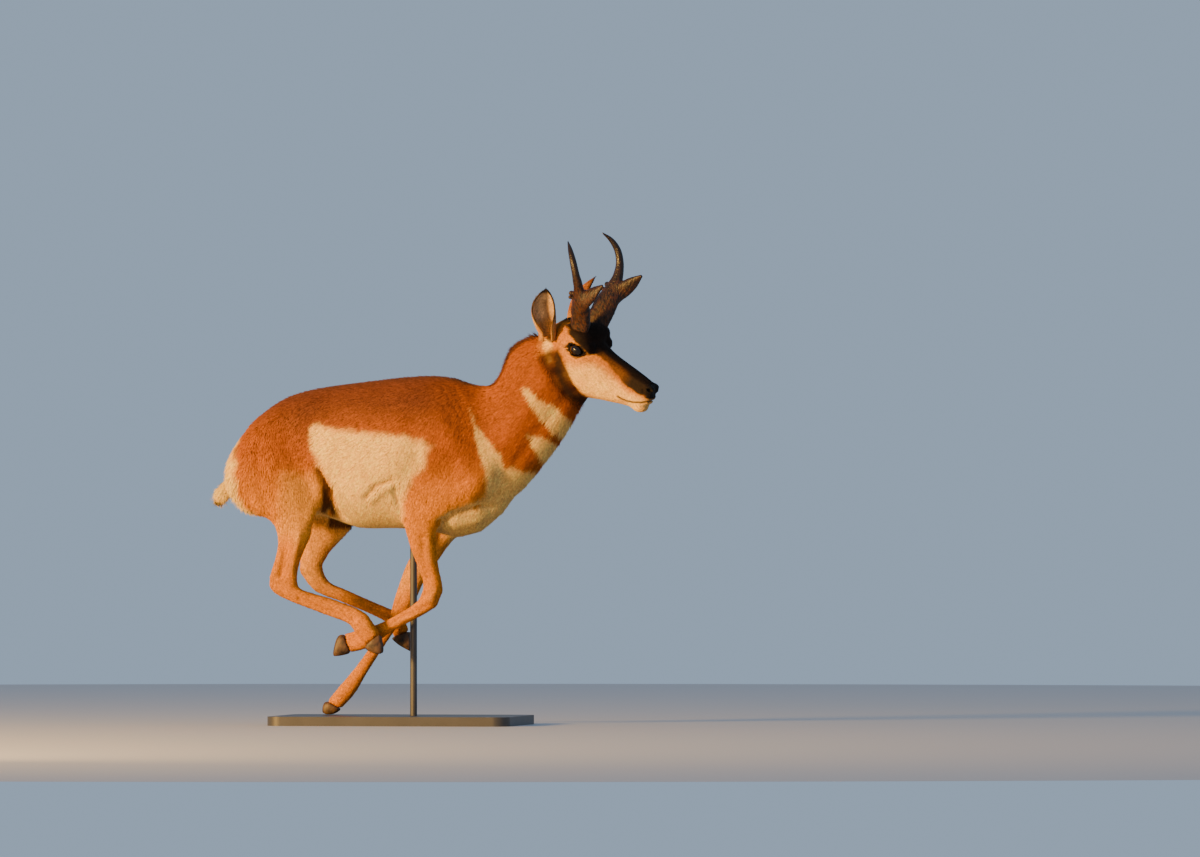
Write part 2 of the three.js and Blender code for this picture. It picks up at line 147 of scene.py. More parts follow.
# %% studio
def studio_disc(radius=7.0, sides=96):
    """A round floor: a ring of points at the radius and one in the middle, joined by triangles."""
    angle = np.linspace(0, 2 * math.pi, sides, endpoint=False)
    ring = radius * np.stack([np.cos(angle), np.sin(angle), np.zeros(sides)], 1)
    k = np.arange(sides)
    faces = np.stack([np.full(sides, sides), k, (k + 1) % sides], 1)
    return add_mesh("studio_floor", np.concatenate([ring, [[0.0, 0.0, 0.0]]]), faces)


floor = studio_disc()
floor.data.materials.append(new_material("studio_paint", (0.50, 0.52, 0.55), 0.9)[0])


LAMP_AIM = (0.05, 0, 0.75)


def add_lamp(name, place, size, power, color):
    """A square lamp at a place, turned to the middle of the animal."""
    data = bpy.data.lights.new(name, "AREA")
    data.size, data.energy, data.color = size, power, color
    lamp = bpy.data.objects.new(name, data)
    away = np.asarray(place, float) - LAMP_AIM
    lamp.location = place
    tilt = math.acos(away[2] / np.linalg.norm(away))
    lamp.rotation_euler = (tilt, 0, math.atan2(away[1], away[0]) + math.pi / 2)
    bpy.context.scene.collection.objects.link(lamp)


add_lamp("evening_lamp", (-4.7, -4.8, 1.5), 0.9, 1120, (1.0, 0.54, 0.12))
add_lamp("ground_lamp", (-1.5, -4.5, 0.15), 2.0, 110, (1.0, 0.60, 0.22))
world = bpy.data.worlds.new("studio_air")
world.use_nodes = True
world.node_tree.nodes["Background"].inputs["Color"].default_value = (0.305, 0.40, 0.53, 1)
world.node_tree.nodes["Background"].inputs["Strength"].default_value = 1.0
bpy.context.scene.world = world
print("studio with", len(bpy.data.lights), "lamps")

# %% [markdown]
# The head has its own directions: forward to the nose, left, and up. The buck turns it to the
# viewer, dips it and tilts it a little, so what belongs to the head is thought out in these
# directions and then carried to its place. A turned parent object could do that, but points are
# carried here, not objects, and one small matrix is enough. The solid head has the same angles.

# %% head directions
NOSE = np.array([601, -114, 876]) * MM
HEAD_TURN, HEAD_DIP, HEAD_TILT = (math.radians(a) for a in (-19, 24, 9))


def turn_about(axis, angle):
    """The rotation matrix about x, y or z, numbered 0, 1 or 2."""
    c, s = math.cos(angle), math.sin(angle)
    matrix = np.eye(3)
    i, j = (axis + 1) % 3, (axis + 2) % 3
    matrix[[i, i, j, j], [i, j, i, j]] = [c, -s, s, c]
    return matrix


HEAD_AXES = turn_about(2, HEAD_TURN) @ turn_about(1, HEAD_DIP) @ turn_about(0, HEAD_TILT)


def to_head(points):
    """Places in the head's own directions."""
    return (points - NOSE) @ HEAD_AXES


def from_head(points):
    """Places in the model's directions."""
    return np.asarray(points) @ HEAD_AXES.T + NOSE


print("forward of the head", HEAD_AXES[:, 0].round(2))

# %% [markdown]
# Skin has no seams, but the solid model is cut into lengths. Blender's Remesh modifier could join
# them. A signed distance field does more: every point of a grid holds its distance to the nearest
# surface, less than zero inside. Fields are joined by taking the smaller value, rounded where two
# forms meet by a blur, and moved in by the depth of the coat by adding that depth. A new surface
# is then drawn where the field is zero.

# %% distance fields
def solid_arrays(name):
    """A node's points and triangles, with the doubled points of its loose triangles merged."""
    merged = bmesh.new()
    merged.from_mesh(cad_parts[name].data)
    bmesh.ops.remove_doubles(merged, verts=merged.verts, dist=1e-6)
    bmesh.ops.triangulate(merged, faces=merged.faces)
    points = np.array([v.co for v in merged.verts], np.float32)
    faces = np.array([[v.index for v in f.verts] for f in merged.faces], np.uint32)
    merged.free()
    return points, faces


class Field:
    """A box of distances: its lowest corner, the spacing of its grid, and the values."""

    def __init__(self, low, high, spacing):
        self.low, self.spacing = np.asarray(low, float), spacing
        self.shape = tuple(np.ceil((np.asarray(high) - self.low) / spacing).astype(int) + 1)
        self.values = np.full(self.shape, 0.05, np.float32)

    def places(self):
        """The place of every grid point."""
        steps = [np.arange(count, dtype=np.float32) for count in self.shape]
        axes = [low + self.spacing * step for low, step in zip(self.low, steps)]
        return np.stack(np.meshgrid(*axes, indexing="ij"), -1)

    def distance_to(self, points, faces, out=0.05, inside=0.12):
        """Distances of the grid to a closed surface of triangles or quads."""
        kind = "triangles" if faces.shape[1] == 3 else "quads"
        grid = vdb.FloatGrid.createLevelSetFromPolygons(
            points=np.ascontiguousarray(points - self.low, dtype=np.float32),
            transform=vdb.createLinearTransform(self.spacing),
            exBandWidth=out / self.spacing,
            inBandWidth=inside / self.spacing,
            **{kind: np.ascontiguousarray(faces, dtype=np.uint32)},
        )
        values = np.empty(self.shape, np.float32)
        grid.copyToArray(values)
        return values

    def surface(self, level=0.0):
        """Points and quads of the surface where the field has the given value."""
        grid = vdb.FloatGrid(float(self.values.max()))
        grid.copyFromArray(self.values)
        grid.transform = vdb.createLinearTransform(self.spacing)
        points, quads = grid.convertToQuads(isovalue=level)
        corners = points[quads]
        volume = (corners[:, 0] * np.cross(corners[:, 1], corners[:, 2])).sum()
        return points + self.low.astype(np.float32), quads if volume > 0 else quads[:, ::-1]

    def blurred(self, reach):
        """The values, averaged along each axis over about `reach` grid steps."""
        steps = np.arange(-int(2 * reach + 1), int(2 * reach + 1) + 1)
        weights = np.exp(-0.5 * (steps / reach) ** 2)
        result = self.values
        for axis in range(3):
            moved = [w * np.roll(result, s, axis) for s, w in zip(steps, weights / weights.sum())]
            result = np.sum(moved, axis=0, dtype=np.float32)
        return result


def smooth_join(a, b, reach):
    """The smaller of two distances, rounded where they are closer than `reach`."""
    closeness = np.clip(0.5 + 0.5 * (b - a) / reach, 0, 1)
    return b + (a - b) * closeness - reach * closeness * (1 - closeness)


GAP_SLACK = 0.8 * MM


def fused(field, names):
    """Joins nodes into one body: their union is drawn a little out, past their gaps."""
    for name in names:
        field.values = np.minimum(field.values, field.distance_to(*solid_arrays(name)))
    points, quads = field.surface(GAP_SLACK)
    field.values = field.distance_to(points, quads) + GAP_SLACK
    return field


LEG_NAMES = ("hind_right", "hind_left", "fore_right", "fore_left")
LEG_PARTS = {
    "hind": ("thigh", "shank", "shin", "pastern"),
    "fore": ("shoulder", "forearm", "shin", "pastern"),
}
LEG_NODES = [f"{leg}_{part}" for leg in LEG_NAMES for part in LEG_PARTS[leg[:4]]]
BODY_NODES = ["torso", "neck", "tail", *LEG_NODES]
print(len(BODY_NODES), "lengths to heal into one body")

# %% [markdown]
# The trunk and the legs of a real animal are one skin over muscle, loose where a leg leaves the
# trunk and tight over the bones below. One blur for all would swell the thin legs, so it grows
# with height. So does the depth of the skin, as the trunk's coat is longer than that of the legs.
# The grid is 5.5 mm, which is fine enough under fur.

# %% body field
BODY_GRID = 5.5 * MM
body = Field((-0.64, -0.17, 0.0), (0.46, 0.17, 1.08), BODY_GRID)
fused(body, BODY_NODES)


def ease(value, start, end):
    """0 before start, 1 after end, and a smooth rise between them."""
    t = np.clip((value - start) / (end - start), 0, 1)
    return t * t * (3 - 2 * t)


height = body.places()[..., 2]
softness = ease(height, 0.42, 0.58)
body.values += softness * (body.blurred(2.4) - body.values)
body.values += MM * (2.2 + 3.3 * ease(height, 0.40, 0.60))
NECK_CUT, NECK_WAY = np.array([0.325, 0.0, 0.915]), np.array([0.795, 0.0, 0.605])
LAP = 14 * MM


def end_at_neck(field, way):
    """Ends a field a little past the cut across the neck, so that the two skins overlap."""
    past = (field.places() - NECK_CUT) @ (way * NECK_WAY) - LAP
    field.values = np.maximum(field.values, past.astype(np.float32))


end_at_neck(body, 1)
skin_points, skin_quads = body.surface()
print("body skin", len(skin_points), "points", len(skin_quads), "quads")

# %% [markdown]
# The head gets a grid of 2 mm, as the eye is drawn to it. Each eye sits in a shell of skin, a
# little bigger than the eyeball, with an almond-shaped hole: its edges are the lids. Ellipsoids
# add the brow, the roots of the horns, the forehead, the swell at each nostril and the chin, and
# a small one is cut out for the nostril. The mouth is a slit along a line. It could be sculpted,
# but an ellipsoid is moved or stretched by changing one number.

# %% head field
def almond(forward, up):
    """Below zero inside the eye's opening: two arcs that meet at its corners."""
    c, s = math.cos(OPENING["slant"]), math.sin(OPENING["slant"])
    along, across = c * forward + s * up, c * up - s * forward
    room = np.clip(1 - (along / OPENING["half_length"]) ** 2, 0.0, 1) ** 0.6
    limit = np.where(across > 0, OPENING["rise"], OPENING["fall"]) * room
    return np.maximum(np.abs(across) - limit, np.abs(along) - OPENING["half_length"])


def flat_distance(across, up, line):
    """Distance, seen from the side, to a chain of straight stretches between points in mm."""
    best = np.full(np.shape(across), 9.0)
    for (x, z), (next_x, next_z) in zip(line[:-1], line[1:]):
        start, stretch = np.array([x, z]) * MM, np.array([next_x - x, next_z - z]) * MM
        gap = np.stack([across, up], -1) - start
        t = np.clip(gap @ stretch / (stretch @ stretch), 0, 1)
        best = np.minimum(best, np.linalg.norm(gap - t[..., None] * stretch, axis=-1))
    return best


def ball_distance(points, middle, radii):
    """About the distance to an ellipsoid with the given half diameters."""
    scaled = (points - np.asarray(middle)) / np.asarray(radii)
    length = np.linalg.norm(scaled, axis=-1)
    return (length - 1) * np.min(radii)


HEAD_GRID = 2.0 * MM
head = Field((0.22, -0.20, 0.78), (0.63, 0.07, 1.09), HEAD_GRID)
fused(head, ["head", "neck"])
head.values = head.blurred(1.1)
near = to_head(head.places())
MOUTH = [
    (20, -32), (-1, -35), (-8, -41), (-20, -48), (-42, -57), (-60, -62), (-78, -63), (-89, -61),
]
on_lips = ease(35 * MM - flat_distance(near[..., 0], near[..., 2], MOUTH), 0, 15 * MM)
head.values += on_lips * (head.blurred(2.2) - head.values)
EYES = {}
for side, sign in (("right", -1), ("left", 1)):
    low, high = (np.array(corner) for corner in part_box(f"eye_{side}"))
    EYES[side] = {"middle": (low + high) / 2, "radius": float((high - low)[2]) / 2, "sign": sign}
behind_head = ease(-near[..., 0], 0.27, 0.35)
head.values += MM * (1.6 + 3.9 * behind_head)
OPENING = {"half_length": 25.5 * MM, "rise": 16 * MM, "fall": 14.5 * MM, "slant": math.radians(13)}
LID = 2.4 * MM
SHELL_BLEND = 4 * MM
# Each form of the head: its middle (of the left one, if there are two), its half diameters, and
# how far its join to the head is rounded, all in mm. The brow's middle is measured from the eye's.
BROW = ((-2, -9, 13), (33, 22, 17), 9)
PEDICLE = ((-250, 38, 50), (36, 23, 18), 8)
FOREHEAD = ((-229, 0, 50), (27, 60, 23), 12)
NOSTRIL_SWELL = ((-15, 13, -9), (14, 12, 12), 5)
NOSTRIL_PIT = ((-8, 20, -8), (9, 7, 4.5), 2.5)
CHIN = ((-37, 0, -65), (24, 17, 16), 8)


def distance_to_form(form, sign=1, start=(0, 0, 0)):
    """The distance of every place in the head's grid to a form, and the reach of its join."""
    middle, radii, reach = form
    middle = start + np.array(middle) * (1, sign, 1) * MM
    return ball_distance(near, middle, np.array(radii) * MM), reach * MM


for eye in EYES.values():
    sign, middle = eye["sign"], to_head(eye["middle"])
    offset = near - middle
    away = np.linalg.norm(offset, axis=-1)
    head.values = smooth_join(head.values, *distance_to_form(BROW, sign, middle))
    head.values = smooth_join(head.values, away - (eye["radius"] + LID), SHELL_BLEND)
    head.values = smooth_join(head.values, *distance_to_form(PEDICLE, sign))
    head.values = smooth_join(head.values, *distance_to_form(FOREHEAD))
    hole = np.maximum(almond(offset[..., 0], offset[..., 2]), -offset[..., 1] * sign)
    head.values = np.maximum(head.values, -hole)
    head.values = np.maximum(head.values, eye["radius"] + 0.2 * MM - away)
    head.values = smooth_join(head.values, *distance_to_form(NOSTRIL_SWELL, sign))
    head.values = -smooth_join(-head.values, *distance_to_form(NOSTRIL_PIT, sign))
head.values = smooth_join(head.values, *distance_to_form(CHIN))
mouth_gap = flat_distance(near[..., 0], near[..., 2], MOUTH)
SLIT_HALF_WIDTH, SLIT_DEPTH = 1.9 * MM, 3.5 * MM
slit = np.maximum(mouth_gap - SLIT_HALF_WIDTH, -head.values - SLIT_DEPTH)
head.values = np.maximum(head.values, -slit)
end_at_neck(head, -1)
face_points, face_quads = head.surface()
print("head skin", len(face_points), "points", len(face_quads), "quads")

# %% [markdown]
# A surface drawn from a grid keeps faint steps, which a few rounds of smoothing take away: each
# point moves half way to the mean of its neighbours, and then a little further back out, so that
# the form doesn't shrink. On the smooth skin the anatomy is raised or pressed in along lines: the
# shoulder blade, the flank's fold, the tendons of the lower legs, the creases at the elbow. A bump
# in the shader could fake them, but real relief also catches the low light at its edges.

# %% smoothing and relief
def neighbour_mean(points, quads):
    """For each point the mean of the points that share an edge with it."""
    pairs = np.concatenate([quads[:, [i, (i + 1) % 4]] for i in range(4)])
    pairs = np.concatenate([pairs, pairs[:, ::-1]])
    first, second = pairs.T
    total = np.stack([np.bincount(first, points[second, i], len(points)) for i in range(3)], 1)
    return total / np.bincount(first, minlength=len(points))[:, None]


def smoothed(points, quads, rounds, share=1.0):
    """Moves points to their neighbours' mean and most of the way back, `rounds` times."""
    share = np.broadcast_to(np.asarray(share, float), (len(points),))[:, None]
    for _ in range(rounds):
        for step in (0.5, -0.52):
            points = points + step * share * (neighbour_mean(points, quads) - points)
    return points


def point_normals(points, faces):
    """Each point's normal: the sum of the crossed diagonals of the quads around it."""
    corners = points[faces]
    face_normals = np.cross(corners[:, 2] - corners[:, 0], corners[:, 3] - corners[:, 1])
    shared = np.repeat(face_normals, 4, axis=0)
    total = np.stack([np.bincount(faces.ravel(), shared[:, i], len(points)) for i in range(3)], 1)
    return total / np.maximum(np.linalg.norm(total, axis=1, keepdims=True), 1e-12)


def distance_to_line(points, line):
    """Distance to a chain of straight stretches, and how far along it the nearest place is."""
    line = np.asarray(line, float)
    best, where = np.full(len(points), 9.0), np.zeros(len(points))
    travelled = 0.0
    for start, end in zip(line[:-1], line[1:]):
        stretch = end - start
        t = np.clip((points - start) @ stretch / (stretch @ stretch), 0, 1)
        gap = np.linalg.norm(points - start - t[:, None] * stretch, axis=1)
        closer = gap < best
        best = np.where(closer, gap, best)
        where = np.where(closer, travelled + t * np.linalg.norm(stretch), where)
        travelled += np.linalg.norm(stretch)
    return best, where


# Each line of relief: its points seen from the side (x, z) in mm, its height in mm (less than
# zero is a groove), and its width in mm.
RELIEF = [
    ("shoulder blade", [(30, 800), (80, 720), (120, 640)], 5, 24),
    ("behind the shoulder", [(-40, 800), (-30, 700), (-50, 650)], -5, 26),
    ("point of the shoulder", [(150, 660), (110, 610)], 5, 24),
    ("upper arm", [(100, 600), (20, 590), (-60, 620)], 6, 24),
    ("elbow crease", [(-166, 597), (-150, 614), (-135, 627), (-98, 641)], -8, 6),
    ("elbow skin", [(-152, 592), (-128, 612), (-98, 626)], 5, 9),
    ("behind the elbow", [(-91, 624), (-84, 585), (-80, 548)], -7, 7),
    ("armpit fold", [(28, 533), (66, 558), (125, 572), (172, 569)], -10, 8),
    ("breast", [(60, 530), (130, 540)], 6, 16),
    ("flank fold", [(-290, 665), (-277, 640), (-268, 610), (-272, 575), (-288, 535)], -12, 7),
    ("flank hollow", [(-262, 610), (-256, 560), (-240, 535)], -12, 13),
    ("thigh's front", [(-312, 690), (-296, 630), (-298, 585), (-316, 545)], 6, 14),
    ("first shoulder wrinkle", [(43, 885), (80, 832), (100, 780)], -2.2, 3.5),
    ("second shoulder wrinkle", [(57, 882), (94, 828), (113, 775)], -2.2, 3.5),
    ("third shoulder wrinkle", [(30, 880), (66, 830), (86, 785)], -2.0, 3.5),
    ("hip bone", [(-330, 835), (-350, 800)], 5, 26),
    ("hip hollow", [(-300, 800), (-290, 760)], -5, 24),
    ("thigh muscle", [(-420, 740), (-400, 660), (-380, 590)], 5, 34),
    ("thigh groove", [(-455, 700), (-445, 620), (-425, 560)], -5, 12),
    ("neck groove", [(345, 850), (285, 775), (225, 690)], -4, 16),
    ("neck muscle", [(300, 900), (240, 810), (175, 720)], 4, 26),
]
# The creases that coat_color paints darker, as painted shade.
SHADED_CREASES = [row for row in RELIEF if row[0] in ("elbow crease", "armpit fold", "flank fold")]
LEG_RELIEF = [
    ("shank tendon", [(-410, -114, 500), (-404, -116, 440), (-418, -116, 385)], 6, 9),
    ("shank hollow", [(-385, -118, 490), (-385, -118, 430), (-392, -118, 392)], -10.5, 11),
    ("shank bone", [(-345, -112, 500), (-355, -114, 440), (-362, -116, 400)], 4.5, 10),
    ("hock bone", [(-352, -116, 392), (-362, -117, 372)], 3.8, 9),
    ("hind shin groove", [(-345, -119, 330), (-280, -119, 302), (-200, -124, 274)], -6.8, 6),
    ("forearm groove", [(-20, -104, 490), (-18, -99, 430), (-8, -94, 385)], -7.5, 8),
    ("forearm muscle", [(0, -104, 500), (2, -98, 430)], 4.5, 12),
    ("knee", [(12, -92, 352), (2, -90, 330)], 6, 12),
    ("below the knee", [(-10, -86, 312), (-60, -80, 290), (-120, -79, 262)], -4.5, 5),
    ("left shank tendon", [(-386, 100, 470), (-372, 104, 420), (-376, 106, 390)], 3.8, 8),
    ("left shank hollow", [(-355, 114, 450), (-352, 116, 410)], -6, 10),
    ("left shin groove", [(-300, 120, 350), (-160, 125, 290)], -3.8, 5),
    ("left fore tendon", [(-160, 72, 236), (-215, 70, 140)], -3.8, 5),
    ("hock hollow", [(-372, -118, 400), (-366, -120, 380), (-356, -120, 362)], -5, 7),
    ("heel cord", [(-434, -112, 470), (-436, -112, 420), (-432, -114, 385)], 4, 8),
    ("knee hollow", [(-20, -90, 372), (-22, -86, 340)], -5, 8),
    ("shin tendon", [(-30, -84, 296), (-90, -80, 268), (-150, -78, 242)], 3.5, 6),
    ("fetlock hollow", [(-196, -82, 232), (-212, -82, 222)], -4, 7),
    ("hind fetlock", [(-160, -130, 262), (-142, -130, 244)], 4, 9),
]


def bell(gap, width):
    """1 on a line, falling away from it over the width in mm."""
    return np.exp(-((gap / (width * MM)) ** 2))


def raised(points, normals, lines, gap_to):
    """Moves points along their normals by a bell curve of their distance to each line."""
    move = sum(rise * MM * bell(gap_to(line), width) for _, line, rise, width in lines)
    return points + move[:, None] * normals


def side_facing(points, normals):
    """The normals, faded to nothing where the skin faces the middle of the body or lies on it."""
    outward = ease(normals[:, 1] * np.sign(points[:, 1]), 0.1, 0.5)
    return normals * (outward * ease(np.abs(points[:, 1]), 0.03, 0.05))[:, None]


def gap_from_side(points):
    """A function that gives the distance of the points to a line of x and z, seen from the side."""
    return lambda line: flat_distance(points[:, 0], points[:, 2], line)


def gap_in_space(points):
    """A function that gives the distance of the points to a line of three numbers a point."""
    return lambda line: distance_to_line(points, np.array(line) * MM)[0]


body_share = 0.3 + 0.7 * ease(skin_points[:, 2], 0.4, 0.55)
skin_points = smoothed(skin_points, skin_quads, 8, body_share)
skin_normals = side_facing(skin_points, point_normals(skin_points, skin_quads))
skin_points = raised(skin_points, skin_normals, RELIEF, gap_from_side(skin_points))
skin_normals = point_normals(skin_points, skin_quads)
skin_points = raised(skin_points, skin_normals, LEG_RELIEF, gap_in_space(skin_points))
face_points = smoothed(face_points, face_quads, 3)
print("skin smoothed, with", len(RELIEF) + len(LEG_RELIEF), "lines of relief")

# %% [markdown]
# On the face the relief is finer: the swell of the lips, the chin, the cheek bone and the edge of
# the jaw. It could be part of the field, but a line a few millimetres wide is close to the size of
# the grid, so it is raised on the surface, along lines in the head's own directions.

# %% face relief
FACE_RELIEF = [
    ("upper lip", [(0, 12, -29), (-18, 25, -38), (-46, 30, -48)], 1.8, 6),
    ("lower lip", [(-6, 12, -48), (-22, 20, -57), (-50, 28, -66)], 2.2, 6),
    ("chin", [(-16, 6, -66), (-34, 10, -76)], 2.0, 10),
    ("cheek bone", [(-110, 37, -12), (-150, 45, -20), (-190, 53, -28), (-225, 56, -36)], 2.2, 9),
    ("under the cheek bone", [(-100, 34, -40), (-150, 42, -48), (-190, 48, -56)], -2.5, 14),
    ("jaw", [(-120, 22, -88), (-170, 32, -98), (-215, 40, -108), (-255, 42, -98)], 2.5, 10),
    ("before the eye", [(-196, 50, 8), (-180, 46, 2)], -3.5, 8),
    ("nose side", [(-30, 20, 2), (-90, 26, 6), (-140, 32, 12)], 1.5, 7),
]
face_normals = point_normals(face_points, face_quads)
one_side = to_head(face_points)
one_side[:, 1] = np.abs(one_side[:, 1])
face_points = raised(face_points, face_normals, FACE_RELIEF, gap_in_space(one_side))
print("face relief of", len(FACE_RELIEF), "lines")

# %% [markdown]
# An ear is a leaf rolled into a cup. It is one sheet worked out from two numbers: how far up the
# ear, and how far round from the front edge over the back to the other edge. A Solidify modifier
# could thicken it. Here the sheet is made twice, an outer and an inner side, and closed along its
# rim, because the painting below asks for the outer side alone.

# %% ears
EAR_LEAN = {"right": (-0.12, 0.30), "left": (-0.06, 0.40)}
EAR_ROOT = np.array([-328, 54, 22]) * MM
EAR_LENGTH = {"right": 134 * MM, "left": 143.38 * MM}
EAR_HALF_WIDTH = {"right": 34.8 * MM, "left": 28.5 * MM}
EAR_BOW, EAR_THICK = 11 * MM, 3 * MM
EAR_STEPS, EAR_TURNS = 40, 36


def unit(vector):
    """The vector at length 1."""
    return vector / np.linalg.norm(vector, axis=-1, keepdims=True)


def ear_sheet(side, sign, shrink):
    """Up the ear its width swells and narrows; across it follows an arc open to the front."""
    back, out = EAR_LEAN[side]
    axis = unit(np.array([back, sign * out, 0.86]))
    opening = unit(np.array([0.5, 0.82 * sign, 0.15]))
    opening = unit(opening - (opening @ axis) * axis)
    across = np.cross(axis, opening) * sign
    up = np.linspace(-0.14, 1, EAR_STEPS)[:, None]
    t = np.clip(up, 0, 1)
    width = EAR_HALF_WIDTH[side] * (0.62 + t) * (1 - t**2.2) + 0.2 * MM
    wrap = math.radians(150) - math.radians(62) * ease(t, 0.05, 0.65)
    turn = np.linspace(-1, 1, EAR_TURNS)[None, :] * wrap
    rounding = np.minimum(1, 1.15 - 0.25 * t)
    radius = width / np.maximum(np.sin(np.minimum(wrap, math.pi / 2)), 0.6)
    radius = np.maximum(radius - shrink, 0.1 * MM)
    sideways, deep = radius * np.sin(turn), -radius * rounding * np.cos(turn) * 0.72
    bow = -EAR_BOW * np.sin(math.pi * t)
    root = EAR_ROOT * (1, sign, 1)
    points = root + (up * EAR_LENGTH[side])[..., None] * axis + sideways[..., None] * across
    points = points + (deep + 6 * MM)[..., None] * opening + bow[..., None] * np.array([1.0, 0, 0])
    return from_head(points.reshape(-1, 3)).reshape(EAR_STEPS, EAR_TURNS, 3)


def grid_faces(rows, columns, start=0):
    """Quads between the neighbours of a grid of points."""
    corner = (np.arange(rows - 1)[:, None] * columns + np.arange(columns - 1)).ravel() + start
    return np.stack([corner, corner + 1, corner + columns + 1, corner + columns], 1)


def sheet_rim(rows, columns, start):
    """The border of a grid of points, walked once round."""
    index = np.arange(rows * columns).reshape(rows, columns) + start
    return np.concatenate([index[0, :-1], index[:-1, -1], index[-1, :0:-1], index[:0:-1, 0]])


def ear_arrays(side, sign):
    """The two sides of the ear and the band that closes them along the rim."""
    outer, inner = ear_sheet(side, sign, 0.0), ear_sheet(side, sign, EAR_THICK)
    count = EAR_STEPS * EAR_TURNS
    faces = [grid_faces(EAR_STEPS, EAR_TURNS), grid_faces(EAR_STEPS, EAR_TURNS, count)[:, ::-1]]
    a, b = sheet_rim(EAR_STEPS, EAR_TURNS, 0), sheet_rim(EAR_STEPS, EAR_TURNS, count)
    faces.append(np.stack([np.roll(a, -1), a, b, np.roll(b, -1)], 1))
    points = np.concatenate([outer.reshape(-1, 3), inner.reshape(-1, 3)])
    faces = np.concatenate(faces)
    corners = points[faces]
    cross = np.cross(corners[:, 1] - corners[:, 0], corners[:, 2] - corners[:, 0])
    inside_out = (cross * (corners[:, 0] - points.mean(0))).sum() < 0
    return points, faces[:, ::-1] if inside_out else faces


EARS = {side: ear_arrays(side, sign) for side, sign in (("right", -1), ("left", 1))}
print("ears of", len(EARS["right"][0]), "points each")

# %% [markdown]
# Hair grows in streams: back from the nose over the head, down the neck, along the trunk to the
# tail, and down each leg. It could be combed by hand. Here each stream is a chain of points, and
# the lie of the coat at any place is the mean of the streams' directions, weighted by how near
# they are. The same chains give an unwrap of the skin: how far along its stream a place lies, and
# at which angle around it.

# %% hair streams
STREAMS = {
    "head": [(610, -116, 870), (520, -85, 915), (440, -58, 960), (355, -30, 1000)],
    "neck": [(355, -28, 985), (300, -18, 900), (230, -6, 800), (150, 0, 730)],
    "trunk": [(150, 0, 725), (0, 0, 710), (-200, 0, 710), (-400, 0, 705), (-520, 0, 680)],
    "tail": [(-520, 0, 680), (-560, 0, 630), (-592, 0, 563)],
    "hind_right": [
        (-430, -90, 720), (-385, -92, 560), (-372, -94, 460), (-388, -98, 375),
        (-280, -103, 313), (-178, -111, 264), (-145, -113, 215),
    ],
    "hind_left": [
        (-390, 90, 720), (-340, 92, 560), (-340, 98, 445), (-352, 100, 385), (-277, 104, 340),
        (-127, 112, 270), (-114, 113, 225),
    ],
    "fore_right": [
        (60, -85, 740), (0, -85, 590), (-28, -77, 492), (-6, -73, 380), (0, -71, 330),
        (-35, -68, 300), (-120, -65, 255), (-180, -63, 225), (-228, -63, 212),
    ],
    "fore_left": [
        (100, 85, 740), (40, 85, 560), (-2, 74, 490), (-68, 67, 400), (-96, 64, 328),
        (-155, 60, 235), (-215, 57, 137), (-250, 55, 88), (-284, 54, 50),
    ],
}
STREAMS = {name: np.array(line, float) * MM for name, line in STREAMS.items()}


def hair_lie(points, normals):
    """The streams' directions at each point, weighted by nearness and laid flat on the skin."""
    total = np.zeros_like(points)
    for line in STREAMS.values():
        for start, end in zip(line[:-1], line[1:]):
            gap, _ = distance_to_line(points, [start, end])
            total += (1 / (gap**2 + 0.02**2) ** 2)[:, None] * unit(end - start)
    total = unit(total)
    x, _, z = points.T
    flank = ease(z, 0.5, 0.6) * ease(-x, -0.15, 0.0) * ease(0.9 - z, 0.0, 0.1)
    total[:, 2] -= 0.35 * flank
    flat = total - (total * normals).sum(1, keepdims=True) * normals
    return unit(flat + 1e-9)


def unwrap(points):
    """In each stream's own rectangle, how far along it a place lies and at which angle."""
    best, result = np.full(len(points), 9.0), np.zeros((len(points), 2))
    for k, line in enumerate(STREAMS.values()):
        gap, where = distance_to_line(points, line)
        length = np.linalg.norm(np.diff(line, axis=0), axis=1).sum()
        chord = unit(line[-1] - line[0])
        over = unit(np.cross(chord, [0, 1, 0]))
        offset = points - line[0]
        angle = np.arctan2(offset @ np.cross(chord, over), offset @ over) / (2 * math.pi) + 0.5
        column, row = k % 5, k // 5
        along = (column + 0.02 + 0.96 * where / length) / 5
        place = np.stack([along, (row + 0.02 + 0.96 * angle) / 3], 1)
        closer = gap < best
        best = np.where(closer, gap, best)
        result[closer] = place[closer]
    return result


print(len(STREAMS), "streams of hair")

# %% [markdown]
# The markings are the animal's badge: rufous back, white belly, flank, rump and two white bands
# across the throat, a black mask down the nose and a dark patch under each ear that only bucks
# have. A painted picture could carry them. Here each is an outline seen from the side, in real
# millimetres, softened at its edge, and skin and hair ask the same function, so they always agree.

# %% markings
# Besides the markings, these colours paint shade on the back, in the creases, the groin, the leg
# grooves, under the jaw and along the mouth, and highlights on the leg ridges.
# Colours are linear red, green and blue; outlines are x and z in mm, or forward and up on the head.
RUFOUS, BACK_SHADE, LEG_TAN = (0.38, 0.098, 0.012), (0.145, 0.044, 0.022), (0.70, 0.245, 0.014)
CREAM, MASK, CHOCOLATE = (0.98, 0.61, 0.19), (0.020, 0.011, 0.007), (0.060, 0.013, 0.004)
BELLY = [
    (-317, 783), (-222, 772), (-116, 762), (-13, 751), (8, 731), (-13, 684), (-45, 637),
    (-71, 585), (-84, 502), (-90, 440), (-245, 440), (-245, 520), (-251, 572), (-267, 634),
    (-290, 694), (-311, 746),
]
UPPER_BAND = [
    (251, 884), (280, 869), (313, 841), (355, 810), (400, 795), (420, 760), (363, 740),
    (337, 757), (319, 776), (297, 797), (275, 832), (260, 858),
]
LOWER_BAND = [
    (255, 763), (277, 764), (295, 748), (317, 742), (360, 735), (330, 695), (302, 697),
    (282, 702), (266, 732),
]
